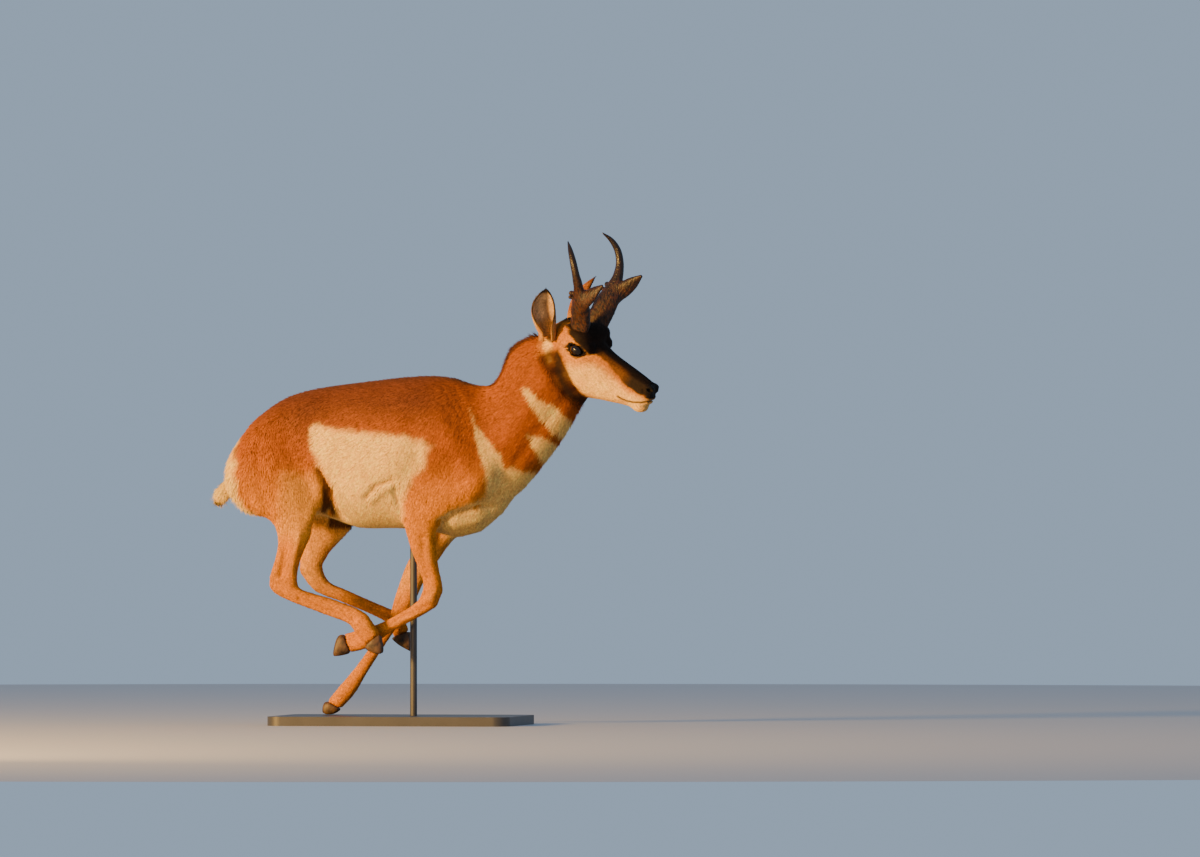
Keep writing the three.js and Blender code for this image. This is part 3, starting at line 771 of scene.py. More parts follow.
CHEST = [
    (105, 825), (134, 760), (164, 732), (188, 698), (196, 676), (275, 667), (330, 690),
    (303, 640), (213, 540), (168, 470), (81, 440), (12, 470), (20, 535), (66, 562), (125, 576),
    (150, 600), (149, 640), (134, 698), (122, 758),
]
# The outline of the painted shadow in the groin, between the thigh's front edge and the belly.
GROIN = [(-282, 640), (-255, 559), (-206, 513), (-301, 520), (-288, 585)]
PALE_THIGH = [
    (-384, 655), (-320, 660), (-278, 640), (-272, 533), (-320, 468), (-405, 500), (-402, 580),
]
RUMP = [
    (-506, 759), (-514, 702), (-509, 650), (-498, 611), (-482, 580), (-440, 535), (-520, 480),
    (-700, 480), (-700, 780), (-560, 780),
]
HEAD_WHITE = [
    (-250, -50), (-238, -29), (-213, -26), (-187, -14), (-165, -8), (-132, -12), (-100, -24),
    (-60, -36), (-26, -36), (20, -38), (20, -60), (-20, -110), (-78, -120), (-135, -125),
    (-165, -118), (-196, -92), (-226, -72),
]
HEAD_MASK = [
    (-345, 90), (-345, 50), (-318, 52), (-290, 62), (-272, 61), (-252, 50), (-232, 41),
    (-215, 34), (-196, 24), (-177, 18), (-143, 8), (-111, -3), (-82, -20), (-45, -28),
    (-12, -30), (30, -31), (30, 90),
]
CHEEK_PATCH = [
    (-320, -32), (-302, -18), (-277, -5), (-249, -29), (-225, -62), (-202, -83), (-176, -100),
    (-153, -110), (-157, -137), (-183, -164), (-224, -168), (-255, -144), (-284, -126),
    (-309, -102), (-321, -67),
]
EAR_STRIPE = [(-332, 0), (-318, 5), (-296, -15), (-281, -36), (-291, -42), (-316, -18)]
PALE_TAN, GROIN_SHADE = (0.88, 0.42, 0.07), (0.05, 0.017, 0.006)
# The colours of the painted shade in the grooves of the legs and of the painted highlights on their
# ridges.
GROOVE_SHADE, RIDGE_HIGHLIGHT = (0.20, 0.065, 0.012), (0.88, 0.42, 0.09)
FACE_TAN, EYE_RING, JAW_TAN_AND_SHADE = (0.52, 0.185, 0.022), (0.78, 0.38, 0.075), (0.42, 0.16, 0.045)
# The dark of the mouth line is painted shadow along its slit.
MOUTH_SHADOW, NOSE_BLACK = (0.03, 0.014, 0.008), (0.008, 0.006, 0.005)
RIM_BLACK, RIM_NARROW = (0.010, 0.007, 0.005), 0.86
EAR_PALE, EAR_STREAK = (0.70, 0.45, 0.22), (0.16, 0.07, 0.03)
EAR_BACK, EAR_FOOT = (0.44, 0.15, 0.035), (0.62, 0.29, 0.075)
# The jaw's lower edge, painted darker: partly its own tan and partly painted shade.
JAW_LINE = [(-210, -100), (-150, -98), (-95, -84), (-70, -70)]
CHEEK_CORE = [(-278, -13), (-260, -46), (-240, -77), (-211, -104), (-176, -129)]


def inside(outline, across, up, soft, wobble=0.0):
    """1 inside a closed outline and 0 outside it, with an edge that is `soft` wide."""
    outline = np.array(outline, float) * MM
    gap, within = np.full(len(across), 9.0), np.zeros(len(across), bool)
    place = np.stack([across, up], 1)
    for start, end in zip(outline, np.roll(outline, -1, 0)):
        stretch = end - start
        t = np.clip((place - start) @ stretch / (stretch @ stretch), 0, 1)
        gap = np.minimum(gap, np.linalg.norm(place - start - t[:, None] * stretch, axis=1))
        crosses = (start[1] > up) != (end[1] > up)
        slope = stretch[0] / (stretch[1] if stretch[1] else 1e-9)
        within ^= crosses & (across < start[0] + (up - start[1]) * slope)
    signed = np.where(within, gap, -gap) + wobble
    return ease(signed, -soft / 2, soft / 2)


def ripple(points, scale, seed):
    """A smooth random pattern between about -1 and 1: a sum of waves in seeded directions."""
    waves = np.random.default_rng(seed)
    ways = unit(waves.normal(size=(9, 3))) * waves.uniform(0.6, 1.7, (9, 1)) / scale
    phases = waves.uniform(0, 2 * math.pi, 9)
    return np.sin(points @ ways.T + phases).sum(1) / 4.2


def mixed(base, color, share):
    """The base colours with a share of another colour."""
    return base + np.asarray(share)[:, None] * (np.asarray(color) - base)


def coat_color(points, normals):
    """The colour of the coat at each point of the skin, with painted shade on the back, in the
    creases, the groin and the leg grooves, and painted highlights on the leg ridges.
    """
    x, y, z = points.T
    edge = 6 * MM * ripple(points, 0.012, 3) + 3 * MM * ripple(points, 0.005, 5)
    color = np.tile(np.array(RUFOUS), (len(points), 1))
    # Painted shade: the top of the back and a patch over the loin are darkened, where the low light
    # leaves them dark.
    color = mixed(color, BACK_SHADE, 0.9 * ease(z, 0.745, 0.85) * ease(-x, -0.14, 0.04))
    loin_shade = np.exp(-(((x + 0.33) / 0.07) ** 2) - ((z - 0.80) / 0.10) ** 2)
    color = mixed(color, BACK_SHADE, 0.5 * loin_shade)
    color = mixed(color, LEG_TAN, ease(0.73 - z, 0.0, 0.19))
    inner = ease(-normals[:, 1] * np.sign(y), 0.25, 0.75)
    inner = inner * ease(0.62 - z, 0.0, 0.08) * ease(z, 0.30, 0.40)
    color = mixed(color, CREAM, 0.3 * inner)
    below = ease(-normals[:, 2], 0.35, 0.8) * ease(0.115 - np.abs(y), 0, 0.03)
    below = below * ease(z, 0.44, 0.5) * ease(0.66 - z, 0, 0.05)
    on_trunk = ease(z, 0.47, 0.52) * ease(0.19 - np.abs(y), 0, 0.01)
    thigh = ease(np.abs(y), 0.03, 0.06) * ease(-0.260 - x, 0, 0.014) * ease(0.66 - z, 0, 0.06)
    color = mixed(color, CREAM, inside(BELLY, x, z, 0.026, edge) * on_trunk * (1 - thigh))
    color = mixed(color, CREAM, below * ease(x, -0.42, -0.38))
    for outline in (UPPER_BAND, LOWER_BAND, CHEST):
        color = mixed(color, CREAM, inside(outline, x, z, 0.012, edge) * ease(z, 0.47, 0.52))
    color = mixed(color, CREAM, inside(RUMP, x, z, 0.014, edge) * ease(z, 0.50, 0.53))
    outer_thigh = inside(PALE_THIGH, x, z, 0.06, edge) * ease(-y, 0.03, 0.06)
    color = mixed(color, PALE_TAN, 0.6 * outer_thigh)
    # Painted shadow in the groin, between the thigh's front edge and the belly.
    groin_shadow = inside(GROIN, x, z, 0.010) * ease(np.abs(y), 0.03, 0.05)
    color = mixed(color, GROIN_SHADE, 0.92 * groin_shadow)
    # Painted shade: the creases at the elbow, the armpit and the flank are darkened with the mask's
    # near-black.
    for _, line, _, _ in SHADED_CREASES:
        crease = bell(flat_distance(x, z, line), 3.5) * ease(np.abs(y), 0.05, 0.08)
        color = mixed(color, MASK, 0.55 * crease)
    # Painted shade along the grooves of the legs and painted highlights along their ridges, on the
    # same lines as the relief.
    for _, line, rise, width in LEG_RELIEF:
        near_it = bell(gap_in_space(points)(line), 0.8 * width)
        tone, share = (GROOVE_SHADE, 0.55) if rise < 0 else (RIDGE_HIGHLIGHT, 0.3)
        color = mixed(color, tone, share * near_it)
    nape = bell(y + 0.012, 16) * ease(normals[:, 2] - normals[:, 0], 0.5, 1.0) * ease(z, 0.93, 0.98)
    color = mixed(color, MASK, 0.8 * nape)
    return color


def head_color(points, normals):
    """The colour of the coat on the head, from outlines in the head's own directions, with painted
    shade under the jaw and painted shadow along the mouth.
    """
    forward, side, up = to_head(points).T
    edge = MM * (2.2 * ripple(points, 0.006, 4) + 1.6 * ripple(points, 0.0025, 8))
    color = coat_color(points, normals)
    on_head = ease(forward, -0.36, -0.32)
    color = mixed(color, FACE_TAN, on_head)
    for eye in EYES.values():
        away = np.linalg.norm(points - eye["middle"], axis=1)
        color = mixed(color, EYE_RING, 0.6 * bell(away, 45))
    soft_top = inside(EAR_STRIPE, forward, up, 0.010, edge)
    color = mixed(color, CREAM, 0.9 * soft_top)
    pale = inside(HEAD_WHITE, forward, up, 0.030, edge)
    color = mixed(color, CREAM, pale * (0.88 + 0.12 * ripple(points, 0.008, 6)))
    # The lower edge of the jaw is darker: partly its own tan and partly painted shade under the
    # jaw.
    color = mixed(color, JAW_TAN_AND_SHADE, 0.45 * bell(flat_distance(forward, up, JAW_LINE), 9))
    dark = inside(CHEEK_PATCH, forward, up, 0.016, 1.5 * edge)
    color = mixed(color, CHOCOLATE, dark * (0.86 + 0.13 * ripple(points, 0.006, 7)))
    core = flat_distance(forward, up, CHEEK_CORE)
    color = mixed(color, MASK, 0.85 * dark * bell(core, 10))
    bridge = inside(HEAD_MASK, forward, up, 0.008, edge)
    nose_side = ease(-forward, 0.06, 0.10) * ease(0.19 + forward, 0, 0.04)
    warm = 0.3 * nose_side * ease(np.abs(side), 0.014, 0.024)
    color = mixed(color, MASK, bridge * (1 - warm))
    # Painted shadow along the slit of the mouth.
    color = mixed(color, MOUTH_SHADOW, 0.9 * bell(flat_distance(forward, up, MOUTH), 3))
    nose = ease(forward, -0.022, -0.010) * ease(up, -0.035, -0.029)
    color = mixed(color, NOSE_BLACK, nose)
    for eye in EYES.values():
        away = np.linalg.norm(points - eye["middle"], axis=1)
        offset = to_head(points) - to_head(eye["middle"])
        rim = ease(4.2 * MM - almond(RIM_NARROW * offset[:, 0], offset[:, 2]), 0, 2.0 * MM)
        color = mixed(color, RIM_BLACK, rim * ease(0.04 - away, 0, 0.006))
    return np.clip(color, 0, 1)


def ear_color(points, normals, side):
    """Tan at the back of the ear, pale inside it, black along the rim and at the tip."""
    sheet = EARS[side][0][: EAR_STEPS * EAR_TURNS].reshape(EAR_STEPS, EAR_TURNS, 3)
    rim = np.concatenate([sheet[3:, 0], sheet[::-1, -1]])
    gap, _ = distance_to_line(points, rim[::2])
    tip = np.linalg.norm(points - sheet[-1].mean(0), axis=1)
    backward = unit(sheet[:, EAR_TURNS // 2].mean(0) - sheet.reshape(-1, 3).mean(0))
    facing = (normals * backward).sum(1)
    middle, _ = distance_to_line(points, sheet[4:28:4, EAR_TURNS // 2 - 3])
    color = np.tile(np.array(EAR_PALE), (len(points), 1))
    color = mixed(color, EAR_STREAK, 0.7 * bell(middle, 9))
    color = mixed(color, EAR_BACK, ease(facing, -0.15, 0.15))
    color = mixed(color, MASK, 0.85 * ease(0.006 - gap, 0, 0.004))
    foot = np.linalg.norm(points - sheet[3].mean(0), axis=1)
    color = mixed(color, EAR_FOOT, 0.95 * ease(0.050 - foot, 0, 0.02))
    return mixed(color, MASK, (0.9 if side == "right" else 0.3) * ease(0.036 - tip, 0, 0.02))


print("markings:", "belly, two bands, chest, rump, mask, cheek")

# %% [markdown]
# Hair is dull across its lie and a little bright along it. Blender's hair shader is made for
# curves, and these tufts are mesh, so the plain shader is used. It takes its colour from the
# markings, breaks it up with a fine and a broad noise, and has a faint sheen. The skin underneath
# has the same colours with a stronger bump, so that the gaps between the tufts don't show.

# %% coat materials
def multiplied(tree, first, second):
    """Two colours multiplied."""
    mix = tree.nodes.new("ShaderNodeMix")
    mix.data_type, mix.blend_type = "RGBA", "MULTIPLY"
    mix.inputs["Factor"].default_value = 1
    tree.links.new(first, mix.inputs["A"])
    tree.links.new(second, mix.inputs["B"])
    return mix.outputs["Result"]


def coat_material(name, darken, bump):
    """Colour from the attribute named coat, varied by two noises."""
    material, tree, shader = new_material(
        name, (0.5, 0.2, 0.06), 0.7, Specular_IOR_Level=0.14, Sheen_Weight=0.03, Sheen_Roughness=0.4
    )
    color = tree.nodes.new("ShaderNodeAttribute")
    color.attribute_name = "coat"
    fine = ramp_between(tree, noise_on_object(tree, 190, 4), 0.36, 0.64, (darken,) * 3, (1.14,) * 3)
    broad = ramp_between(tree, noise_on_object(tree, 9, 3), 0.3, 0.7, (0.9,) * 3, (1.07,) * 3)
    varied = multiplied(tree, color.outputs["Color"], multiplied(tree, fine, broad))
    tree.links.new(varied, shader.inputs["Base Color"])
    add_bump(tree, shader, noise_on_object(tree, 700, 3), bump, 0.002)
    return material


SKIN_COAT = coat_material("skin_coat", 0.66, 0.6)
HAIR = coat_material("hair", 0.76, 0.15)


def paint(piece, colors):
    """Keeps a colour for every point in the attribute named coat."""
    attribute = piece.data.attributes.new("coat", "FLOAT_COLOR", "POINT")
    values = np.concatenate([colors, np.ones((len(colors), 1))], 1).astype(np.float32)
    attribute.data.foreach_set("color", values.ravel())


def dress(piece, material):
    """Gives a piece its material and ties it to the one body of the model."""
    piece.data.materials.append(material)
    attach(piece, "root")
    return piece


skin = dress(add_mesh("skin_body", skin_points, skin_quads), SKIN_COAT)
paint(skin, coat_color(skin_points, point_normals(skin_points, skin_quads)))
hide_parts(*BODY_NODES)
face = dress(add_mesh("skin_head", face_points, face_quads), SKIN_COAT)
paint(face, head_color(face_points, point_normals(face_points, face_quads)))
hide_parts("head")
for side, (points, faces) in EARS.items():
    ear = dress(add_mesh(f"skin_ear_{side}", points, faces), SKIN_COAT)
    paint(ear, ear_color(points, point_normals(points, faces), side))
    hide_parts(f"ear_{side}")
print("skin in place")

# %% [markdown]
# The coat could be grown as curves, but mesh is what can be handed on to other programs. So it is
# made of thin three-sided spikes that start under the skin, lean along the lie and end in a point.
# They overlap like shingles. They are longest on rump, neck and tail, and tiny on the face and
# feet. Every tuft takes one colour from its root, a little lighter or darker than its neighbour,
# which gives the salt of a real coat. That colour is painted darker at the tuft's foot, as shade
# deep in the coat, and lighter at its tip, as painted light.

# %% tufts
TUFT_FACES = np.array([[1, 0, 3], [2, 1, 3], [0, 2, 3], [0, 1, 2]])
PATCH = 0.003
# Brightness of each tuft's points from foot to tip: the foot is painted darker, as shade deep in
# the coat, and the tip lighter, as painted light.
TUFT_SHADE_AND_LIGHT = np.array([0.48, 0.48, 0.84, 1.15])
UV_OF_TUFT = np.array([[-0.5, 0], [0.5, 0], [0, 0.2], [0, 1]]) * PATCH


def scatter(points, faces, weight, count):
    """Random places on a surface, as many per area as its points' weight asks: place and normal."""
    triangles = np.concatenate([faces[:, [0, 1, 2]], faces[:, [0, 2, 3]]])
    normals = point_normals(points, faces)
    corners = points[triangles]
    cross = np.cross(corners[:, 1] - corners[:, 0], corners[:, 2] - corners[:, 0])
    area = np.linalg.norm(cross, axis=1)
    chance = area * weight[triangles].mean(1)
    total = np.cumsum(chance)
    chosen = np.searchsorted(total, (np.arange(count) + rng.random(count)) / count * total[-1])
    chosen = np.minimum(chosen, len(triangles) - 1)
    a, b = rng.random(count), rng.random(count)
    flip = a + b > 1
    a, b = np.where(flip, 1 - a, a), np.where(flip, 1 - b, b)
    shares = np.stack([1 - a - b, a, b], 1)[..., None]
    return (corners[chosen] * shares).sum(1), unit((normals[triangles[chosen]] * shares).sum(1))


def tuft_arrays(roots, normals, lie, length, width, lift, colors):
    """Three-sided spikes: a flat foot just under the skin, and a point that leans along the lie."""
    sideways = np.cross(normals, lie)
    length, width, lift = length[:, None], width[:, None], lift[:, None]
    foot = roots - 0.5 * MM * normals
    ridge = foot + (0.5 * MM + 0.22 * width) * normals - 0.15 * length * lie
    tip = roots + length * lie + lift * length * normals
    points = np.stack([foot + 0.5 * width * sideways, foot - 0.5 * width * sideways, ridge, tip], 1)
    turned = 0.35 * sideways
    bent = np.stack([normals + turned, normals - turned, normals, normals + 0.25 * lie], 1)
    # Painted shade at each tuft's foot and painted light at its tip.
    return points, unit(bent), colors[:, None, :] * TUFT_SHADE_AND_LIGHT[None, :, None]


def add_coat(name, roots, normals, lie, length, width, lift, colors, places_on_unwrap):
    """One mesh of tufts, with soft normals, colours and the map named OFBake."""
    points, bent, shades = tuft_arrays(roots, normals, lie, length, width, lift, colors)
    count = len(roots)
    faces = (TUFT_FACES[None] + 4 * np.arange(count)[:, None, None]).reshape(-1, 3)
    piece = dress(add_mesh(name, points.reshape(-1, 3), faces), HAIR)
    paint(piece, np.clip(shades.reshape(-1, 3), 0, 1))
    layer = piece.data.uv_layers.new(name="OFBake")
    uv = (places_on_unwrap[:, None, :] + UV_OF_TUFT[None]).reshape(-1, 2)
    layer.data.foreach_set("uv", uv[faces.ravel()].astype(np.float32).ravel())
    piece.data.normals_split_custom_set_from_vertices(bent.reshape(-1, 3).astype(np.float32))


def wandering(lie, normals, spread):
    """The lie with each tuft turned a little to one side or the other."""
    angle = rng.normal(0, spread, len(lie))[:, None]
    return unit(lie * np.cos(angle) + np.cross(normals, lie) * np.sin(angle))


MOST_TUFTS = 45000
hair_count = 0


def grow(name, points, faces, weight, count, length, width, lift, color_of,
         lie_of=hair_lie, spread=0.16):
    """Scatters tufts over a surface and makes them in pieces that stay small enough."""
    global hair_count
    pieces = math.ceil(count / MOST_TUFTS)
    roots, normals = scatter(points, faces, weight, count)
    lie = wandering(lie_of(roots, normals), normals, spread)
    clump = 0.12 * ripple(roots, 0.0018, 21) + 0.06 * ripple(roots, 0.006, 22)
    colors = color_of(roots, normals) * (rng.uniform(0.78, 1.18, count) + clump)[:, None]
    size = rng.uniform(0.8, 1.2, count)
    spot = unwrap(roots)
    long, wide = length(roots) * size, width(roots)
    for k in range(pieces):
        raise_by = lift(roots) * rng.uniform(0.7, 1.3, count)
        rows = (roots, normals, lie, long, wide, raise_by, colors, spot)
        add_coat(f"{name}_{k + 1}", *(row[k::pieces] for row in rows))
    hair_count += count


def steady(value):
    """The same value for every tuft."""
    return lambda points: np.full(len(points), value)


# %% [markdown]
# Trunk and legs share one growth, as one hide does: the tufts get shorter and narrower from the
# trunk down to the feet, while their number per area grows. One coat for each leg would leave a
# seam. The rump patch is made of longer hair that a buck can raise, and the neck is shaggier than
# the back.

# %% body coat
def on_neck(points):
    """1 on the neck, 0 on the trunk."""
    return ease(points[:, 0] + 0.4 * (points[:, 2] - 0.75), 0.14, 0.22)


def on_rump(points):
    """1 on the white rump patch."""
    return inside(RUMP, points[:, 0], points[:, 2], 0.03) * ease(points[:, 2], 0.53, 0.57)


def high(points):
    """0 on the lower legs, 1 on the trunk."""
    return ease(points[:, 2], 0.40, 0.60)


grow(
    "coat_body", skin_points, skin_quads,
    1.0 + 1.6 * (1 - high(skin_points)) + 0.3 * on_neck(skin_points), 200000,
    lambda p: MM * (7 + 8 * high(p) + 5 * on_neck(p) + 14 * on_rump(p)),
    lambda p: MM * (1.8 + 1.9 * high(p) + 0.3 * on_rump(p)),
    lambda p: 0.20 + 0.13 * high(p) + 0.05 * on_neck(p),
    coat_color,
)
print("tufts so far", hair_count)

# %% [markdown]
# The face has the finest hair. None grows on the bare nose, the eyelids' rims or inside the
# nostrils, so the weight is zero there, and the length grows from the muzzle to the neck.

# %% head coat
def face_weight(points):
    """None on the nose leather and at the eyes, more at the front of the face than behind it."""
    forward, _, up = to_head(points).T
    bare = ease(forward, -0.020, -0.012) * ease(up, -0.036, -0.026)
    weight = (1 - bare) * (0.8 + 0.6 * ease(forward, -0.28, -0.1))
    weight = weight * ease(flat_distance(forward, up, MOUTH), 0.0015, 0.003)
    for eye in EYES.values():
        offset = to_head(points) - to_head(eye["middle"])
        same_side = np.abs(offset[:, 1]) < 0.04
        from_rim = almond(RIM_NARROW * offset[:, 0] - 4 * MM, offset[:, 2])
        weight = weight * np.where(same_side, ease(from_rim, 3 * MM, 5 * MM), 1)
    return weight


def behind(points):
    """0 at the muzzle, 1 where the head meets the neck."""
    return ease(-to_head(points)[:, 0], 0.05, 0.33)


grow(
    "coat_head", face_points, face_quads, face_weight(face_points), 85000,
    lambda p: MM * (4 + 10 * behind(p) ** 1.5),
    lambda p: MM * (1.0 + 1.2 * behind(p)),
    lambda p: 0.14 + 0.06 * behind(p),
    head_color,
)


def ear_lie(side, sign):
    """Hair on the ear runs up to its tip."""
    back, out = EAR_LEAN[side]
    axis = HEAD_AXES @ unit(np.array([back, sign * out, 0.86]))

    def lie(points, normals):
        flat = axis - (normals @ axis)[:, None] * normals
        return unit(flat + 1e-9)

    return lie


for side, sign in (("right", -1), ("left", 1)):
    points, faces = EARS[side]
    grow(
        f"coat_ear_{side}", points, faces, np.ones(len(points)), 8000,
        steady(7 * MM), steady(1.2 * MM), steady(0.12),
        lambda p, n, side=side: ear_color(p, n, side), ear_lie(side, sign),
    )
print("tufts so far", hair_count)

# %% [markdown]
# Two places have hair long enough to break the outline: the short dark mane along the nape and
# the tassel of the tail. The coat could be made longer there, but a growth of its own can also
# stand up steeply and spread.

# %% long hair
def near_line(points, line, reach):
    """1 on a line of points in mm, falling to 0 at `reach` mm from it."""
    gap, _ = distance_to_line(points, np.array(line, float) * MM)
    return ease(reach * MM - gap, 0, reach * MM)


MANE = [
    (345, -30, 1050), (276, -22, 1017), (233, -16, 1001), (203, -10, 983), (186, -6, 944),
    (160, 0, 900),
]
TASSEL = [(-560, 0, 640), (-600, 0, 570)]


def mane_color(points, normals):
    """Dark brown hair with rufous roots."""
    return mixed(coat_color(points, normals), MASK, np.full(len(points), 0.55))


grow(
    "coat_mane", skin_points, skin_quads, near_line(skin_points, MANE, 26) ** 2, 2500,
    steady(26 * MM), steady(2.6 * MM), steady(0.42), mane_color, spread=0.3,
)
grow(
    "coat_tail", skin_points, skin_quads, near_line(skin_points, TASSEL, 45), 4000,
    steady(32 * MM), steady(2.4 * MM), steady(0.2), coat_color, spread=0.25,
)
print("tufts in all", hair_count)

# %% [markdown]
# A pronghorn's horn is a sheath of fused hair: rough and fibrous below, smooth and black at the
# hooked tip, with a broad prong that points forward. Shaft and prong are two tubes carried along
# a path, joined by their distance fields so that the prong grows out of the shaft in one curve.

# %% horns
# Each row: forward, side and up in the head's directions, half depth and half width, all in mm.
# A knob's row ends with its radius.
SHAFT = [
    (-249, 36, 40, 30, 18), (-248, 42, 72, 31, 18), (-248, 60, 116, 31, 17),
    (-250, 81, 157, 24, 14), (-257, 96, 190, 14, 11), (-269, 107, 221, 10.5, 9.5),
    (-287, 108, 250, 9, 8.5), (-309, 99, 271, 6.5, 6), (-332, 83, 284, 1.5, 1.5),
]
PRONG = [
    (-249, 77, 129, 19, 9), (-229, 87, 162, 21, 10), (-209, 93, 193, 16, 8),
    (-190, 95, 222, 3.5, 3),
]
KNOBS = [(-276, 86, 161, 6.5), (-279, 79, 147, 5.5), (-248, 74, 128, 4.5), (-272, 56, 104, 4)]


def along_curve(rows, count):
    """Rows of numbers filled in along a smooth curve through them, as even steps of its length."""
    rows = np.asarray(rows, float)
    knots = np.concatenate([[0], np.cumsum(np.linalg.norm(np.diff(rows[:, :3], axis=0), axis=1))])
    slopes = np.gradient(rows, knots, axis=0)
    t = np.linspace(0, knots[-1], count)
    i = np.clip(np.searchsorted(knots, t, side="right") - 1, 0, len(knots) - 2)
    span = (knots[i + 1] - knots[i])[:, None]
    s = (t[:, None] - knots[i][:, None]) / span
    return (rows[i] * (2 * s**3 - 3 * s**2 + 1) + slopes[i] * span * (s**3 - 2 * s**2 + s)
            + rows[i + 1] * (3 * s**2 - 2 * s**3) + slopes[i + 1] * span * (s**3 - s**2))


def closed_faces(rings, sides):
    """Triangles between rings of points, and to the two end points that come after them."""
    k = np.arange(sides)
    a = (np.arange(rings - 1)[:, None] * sides + k).ravel()
    b = (np.arange(rings - 1)[:, None] * sides + (k + 1) % sides).ravel()
    first, last = np.full(sides, rings * sides), (rings - 1) * sides
    return np.concatenate([
        np.stack([a, b, b + sides], 1), np.stack([a, b + sides, a + sides], 1),
        np.stack([first, (k + 1) % sides, k], 1),
        np.stack([first + 1, last + k, last + (k + 1) % sides], 1),
    ])


def tube(rows, ahead, rings=60, sides=40):
    """An oval of the rows' half depth and width, carried along their path, with closed ends."""
    rows = along_curve(rows, rings)
    centre, deep, wide = rows[:, :3], rows[:, 3:4], rows[:, 4:5]
    tangent = unit(np.gradient(centre, axis=0))
    front = unit(ahead - (tangent @ ahead)[:, None] * tangent)
    sideways = np.cross(tangent, front)
    angle = np.linspace(0, 2 * math.pi, sides, endpoint=False)
    ring = (deep * front)[:, None] * np.cos(angle)[:, None]
    ring = ring + (wide * sideways)[:, None] * np.sin(angle)[:, None]
    points = np.concatenate([(centre[:, None] + ring).reshape(-1, 3), centre[[0, -1]]])
    return points * MM, closed_faces(rings, sides)


HORN_GRID = 1.7 * MM


def horn_arrays(sign):
    """Shaft and prong joined, with grooves along the sheath and knobs low on its back edge."""
    flip = np.array([1, sign, 1, 1, 1])
    ahead = np.array([0.93, 0.3 * sign, 0.2])
    parts = [tube(np.array(rows, float) * flip, ahead) for rows in (SHAFT, PRONG)]
    everything = np.concatenate([points for points, _ in parts])
    field = Field(everything.min(0) - 0.012, everything.max(0) + 0.012, HORN_GRID)
    shaft, prong = (field.distance_to(points, faces, 0.02, 0.03) for points, faces in parts)
    field.values = smooth_join(shaft, prong, 11 * MM)
    for x, y, z, radius in KNOBS:
        middle = np.array([x, sign * y, z]) * MM
        knob = ball_distance(field.places(), middle, np.full(3, radius * MM))
        field.values = smooth_join(field.values, knob, 4 * MM)
    points, quads = field.surface()
    points = smoothed(points, quads, 3)
    normals = point_normals(points, quads)
    mirrored = points * (1, sign, 1)
    up = ease(mirrored[:, 2], 0.19, 0.235)
    around = mirrored[:, 0] * 0.9 + mirrored[:, 1] * 0.75 - 0.28 * mirrored[:, 2]
    groove = np.abs(np.sin(around / 0.0032 + 2.2 * ripple(mirrored, 0.02, 11))) - 0.5
    pearl = np.clip(ripple(mirrored, 0.0035, 12), 0, 1) ** 2
    low = ease(0.16 - mirrored[:, 2], 0, 0.06)
    depth = (1 - up) * (0.55 * groove + 0.9 * ripple(mirrored, 0.008, 13)) + low * 1.6 * pearl
    return from_head(points + (depth * MM)[:, None] * normals), quads


def map_range(tree, value, from_low, from_high, to_low, to_high):
    """A value carried from one span of numbers to another, and held at its ends."""
    node = tree.nodes.new("ShaderNodeMapRange")
    limits = {"From Min": from_low, "From Max": from_high, "To Min": to_low, "To Max": to_high}
    for socket, limit in limits.items():
        node.inputs[socket].default_value = limit
    tree.links.new(value, node.inputs["Value"])
    return node.outputs["Result"]


FIBRE_STRETCH = (1.6, 1.6, 0.7)
FIBRE_DARK, FIBRE_BROWN = (0.006, 0.003, 0.002), (0.080, 0.025, 0.005)
TIP_BLACK = (0.018, 0.010, 0.006)


def horn_material():
    """Brown fibres below, darker and glossier to the tip, all from the height on the horn."""
    material, tree, shader = new_material(
        "horn_sheath", (0.05, 0.03, 0.02), 0.42, Specular_IOR_Level=0.38
    )
    fibre = noise_on_object(tree, 120, 6, FIBRE_STRETCH)
    place = tree.nodes.new("ShaderNodeTexCoord")
    split = tree.nodes.new("ShaderNodeSeparateXYZ")
    tree.links.new(place.outputs["Object"], split.inputs["Vector"])
    height = split.outputs["Z"]
    blend = tree.nodes.new("ShaderNodeMix")
    blend.data_type = "RGBA"
    blend.inputs["B"].default_value = (*TIP_BLACK, 1)
    tree.links.new(map_range(tree, height, 1.10, 1.21, 0, 1), blend.inputs["Factor"])
    brown = ramp_between(tree, fibre, 0.38, 0.68, FIBRE_DARK, FIBRE_BROWN)
    tree.links.new(brown, blend.inputs["A"])
    tree.links.new(blend.outputs["Result"], shader.inputs["Base Color"])
    gloss = map_range(tree, height, 1.08, 1.22, 0.55, 0.26)
    tree.links.new(gloss, shader.inputs["Roughness"])
    add_bump(tree, shader, noise_on_object(tree, 200, 5, FIBRE_STRETCH), 0.8, 0.002)
    return material


HORN_SHEATH = horn_material()
for side, sign in (("right", -1), ("left", 1)):
    points, quads = horn_arrays(sign)
    horn = dress(add_mesh(f"horn_sheath_{side}", points, quads), HORN_SHEATH)
    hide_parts(f"horn_{side}")
    print(horn.name, len(quads), "quads")

# %% [markdown]
# A pronghorn's eye is huge and almost black, with a brown ring only in strong light. The eyeball
# is a ball whose front bulges a little, and a wet coat over it gives the sharp glint. A sphere
# could be pushed into shape by hand, but points worked out from two angles bulge by themselves.

# %% eyes
BULGE, SINK = 0.045, 0.985


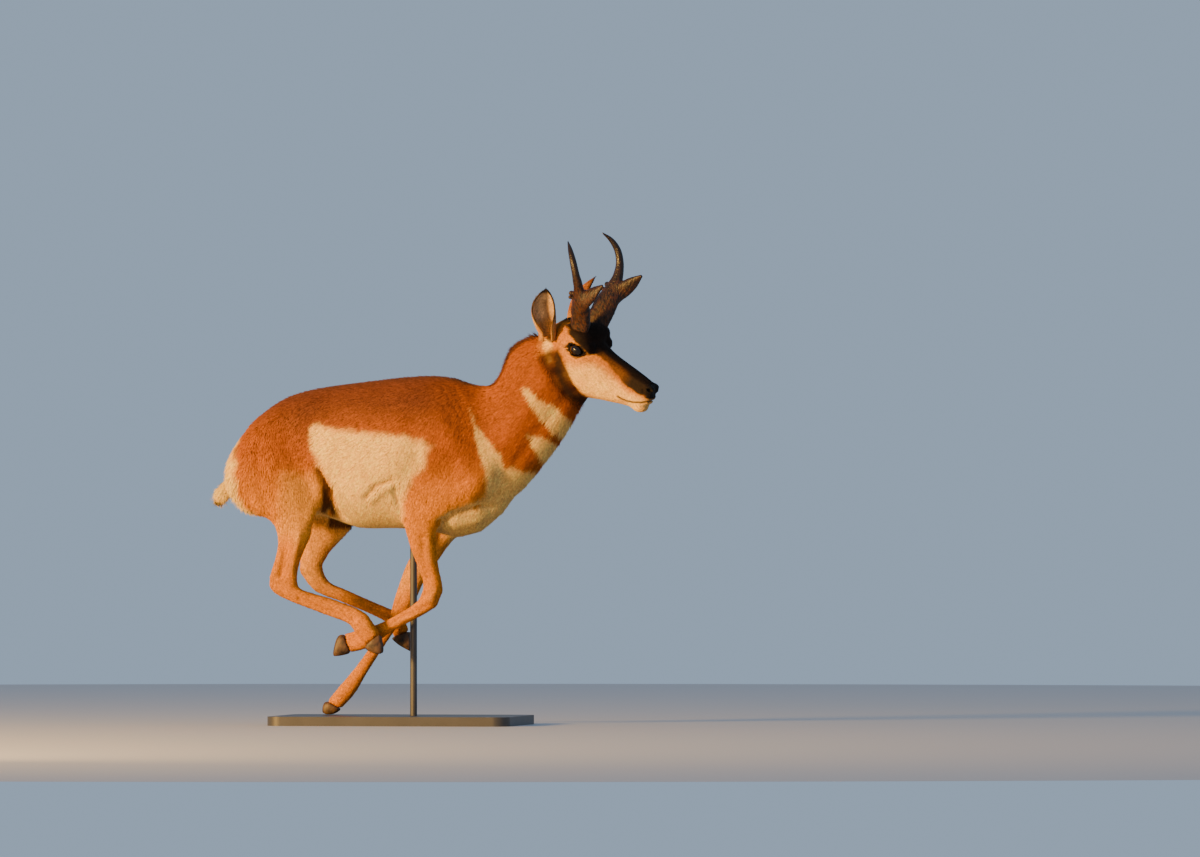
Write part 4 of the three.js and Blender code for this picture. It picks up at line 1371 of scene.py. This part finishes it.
def eye_arrays(eye, rings=40, sides=56):
    """A sphere around the line out of the head, raised by a bell curve round that line."""
    outward = HEAD_AXES @ unit(np.array([0.18, 0.95 * eye["sign"], 0.12]))
    across = unit(np.cross(outward, [0, 0, 1]))
    over = np.cross(across, outward)
    polar = np.linspace(0, math.pi, rings + 1)[1:-1][:, None]
    angle = np.linspace(0, 2 * math.pi, sides, endpoint=False)[None]
    swell = 1 + BULGE * np.exp(-((polar / 0.5) ** 2))
    radius = SINK * eye["radius"] * swell
    ring = np.cos(angle)[..., None] * across + np.sin(angle)[..., None] * over
    ring = np.sin(polar)[..., None] * ring
    points = eye["middle"] + radius[..., None] * (ring + np.cos(polar)[..., None] * outward)
    poles = eye["middle"] + np.array([[1 + BULGE], [-1]]) * SINK * eye["radius"] * outward
    points = np.concatenate([points.reshape(-1, 3), poles])
    return points, closed_faces(rings - 1, sides)[:, ::-1]


EYE_GLOSS, eye_tree, eye_shader = new_material(
    "eye_gloss", (0.006, 0.004, 0.003), 0.12,
    Specular_IOR_Level=0.3, Coat_Weight=0.5, Coat_Roughness=0.03,
)
IRIS_DARK, IRIS_BROWN = (0.003, 0.002, 0.0015), (0.012, 0.006, 0.003)
iris = ramp_between(eye_tree, noise_on_object(eye_tree, 90, 2), 0.3, 0.8, IRIS_DARK, IRIS_BROWN)
eye_tree.links.new(iris, eye_shader.inputs["Base Color"])
for side, eye in EYES.items():
    points, faces = eye_arrays(eye)
    ball = dress(add_mesh(f"eyeball_{side}", points, faces), EYE_GLOSS)
    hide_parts(f"eye_{side}")
print("eyes of radius", round(EYES["right"]["radius"] / MM, 1), "mm")

# %% [markdown]
# Each foot ends in two pointed claws of horn. They could be modelled anew, but the solid claws
# have the right shape and only too few faces. So a copy of each is merged and rounded by
# subdivision, and gets a streaked, dusty horn finish.

# %% hooves
HOOF, hoof_tree, hoof_shader = new_material(
    "hoof_horn", (0.05, 0.04, 0.03), 0.5, Specular_IOR_Level=0.4
)
HOOF_DARK, HOOF_DUSTY = (0.014, 0.009, 0.006), (0.150, 0.080, 0.034)
streaks = noise_on_object(hoof_tree, 70, 5, (1, 2.5, 1))
hoof_color = ramp_between(hoof_tree, streaks, 0.3, 0.75, HOOF_DARK, HOOF_DUSTY)
hoof_tree.links.new(hoof_color, hoof_shader.inputs["Base Color"])
add_bump(hoof_tree, hoof_shader, noise_on_object(hoof_tree, 220, 4, (1, 3, 1)), 0.4, 0.001)
HOOF_NODES = [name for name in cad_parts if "_hoof_" in name]
for name in HOOF_NODES:
    points, faces = solid_arrays(name)
    claw = dress(add_mesh(f"claw_{name}", points, faces), HOOF)
    rounding = claw.modifiers.new("rounding", "SUBSURF")
    rounding.levels = rounding.render_levels = 2
    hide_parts(name)
print(len(HOOF_NODES), "claws")

# %% [markdown]
# The stand is the solid model's own: a plate and a rod, which need no more detail than they have.
# They get a matt dark paint, with the faint orange peel that sprayed paint has.

# %% stand
STAND_PAINT, stand_tree, stand_shader = new_material("stand_paint", (0.045, 0.047, 0.05), 0.45)
PAINT_DARK, PAINT_LIGHT = (0.038, 0.039, 0.042), (0.055, 0.056, 0.06)
cloudy = noise_on_object(stand_tree, 14, 4)
stand_color = ramp_between(stand_tree, cloudy, 0.3, 0.7, PAINT_DARK, PAINT_LIGHT)
stand_tree.links.new(stand_color, stand_shader.inputs["Base Color"])
add_bump(stand_tree, stand_shader, noise_on_object(stand_tree, 600, 2), 0.15, 0.0005)
for name in ("stand_base", "stand_rod"):
    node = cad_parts[name]
    node.data.materials.clear()
    node.data.materials.append(STAND_PAINT)
print("stand painted")
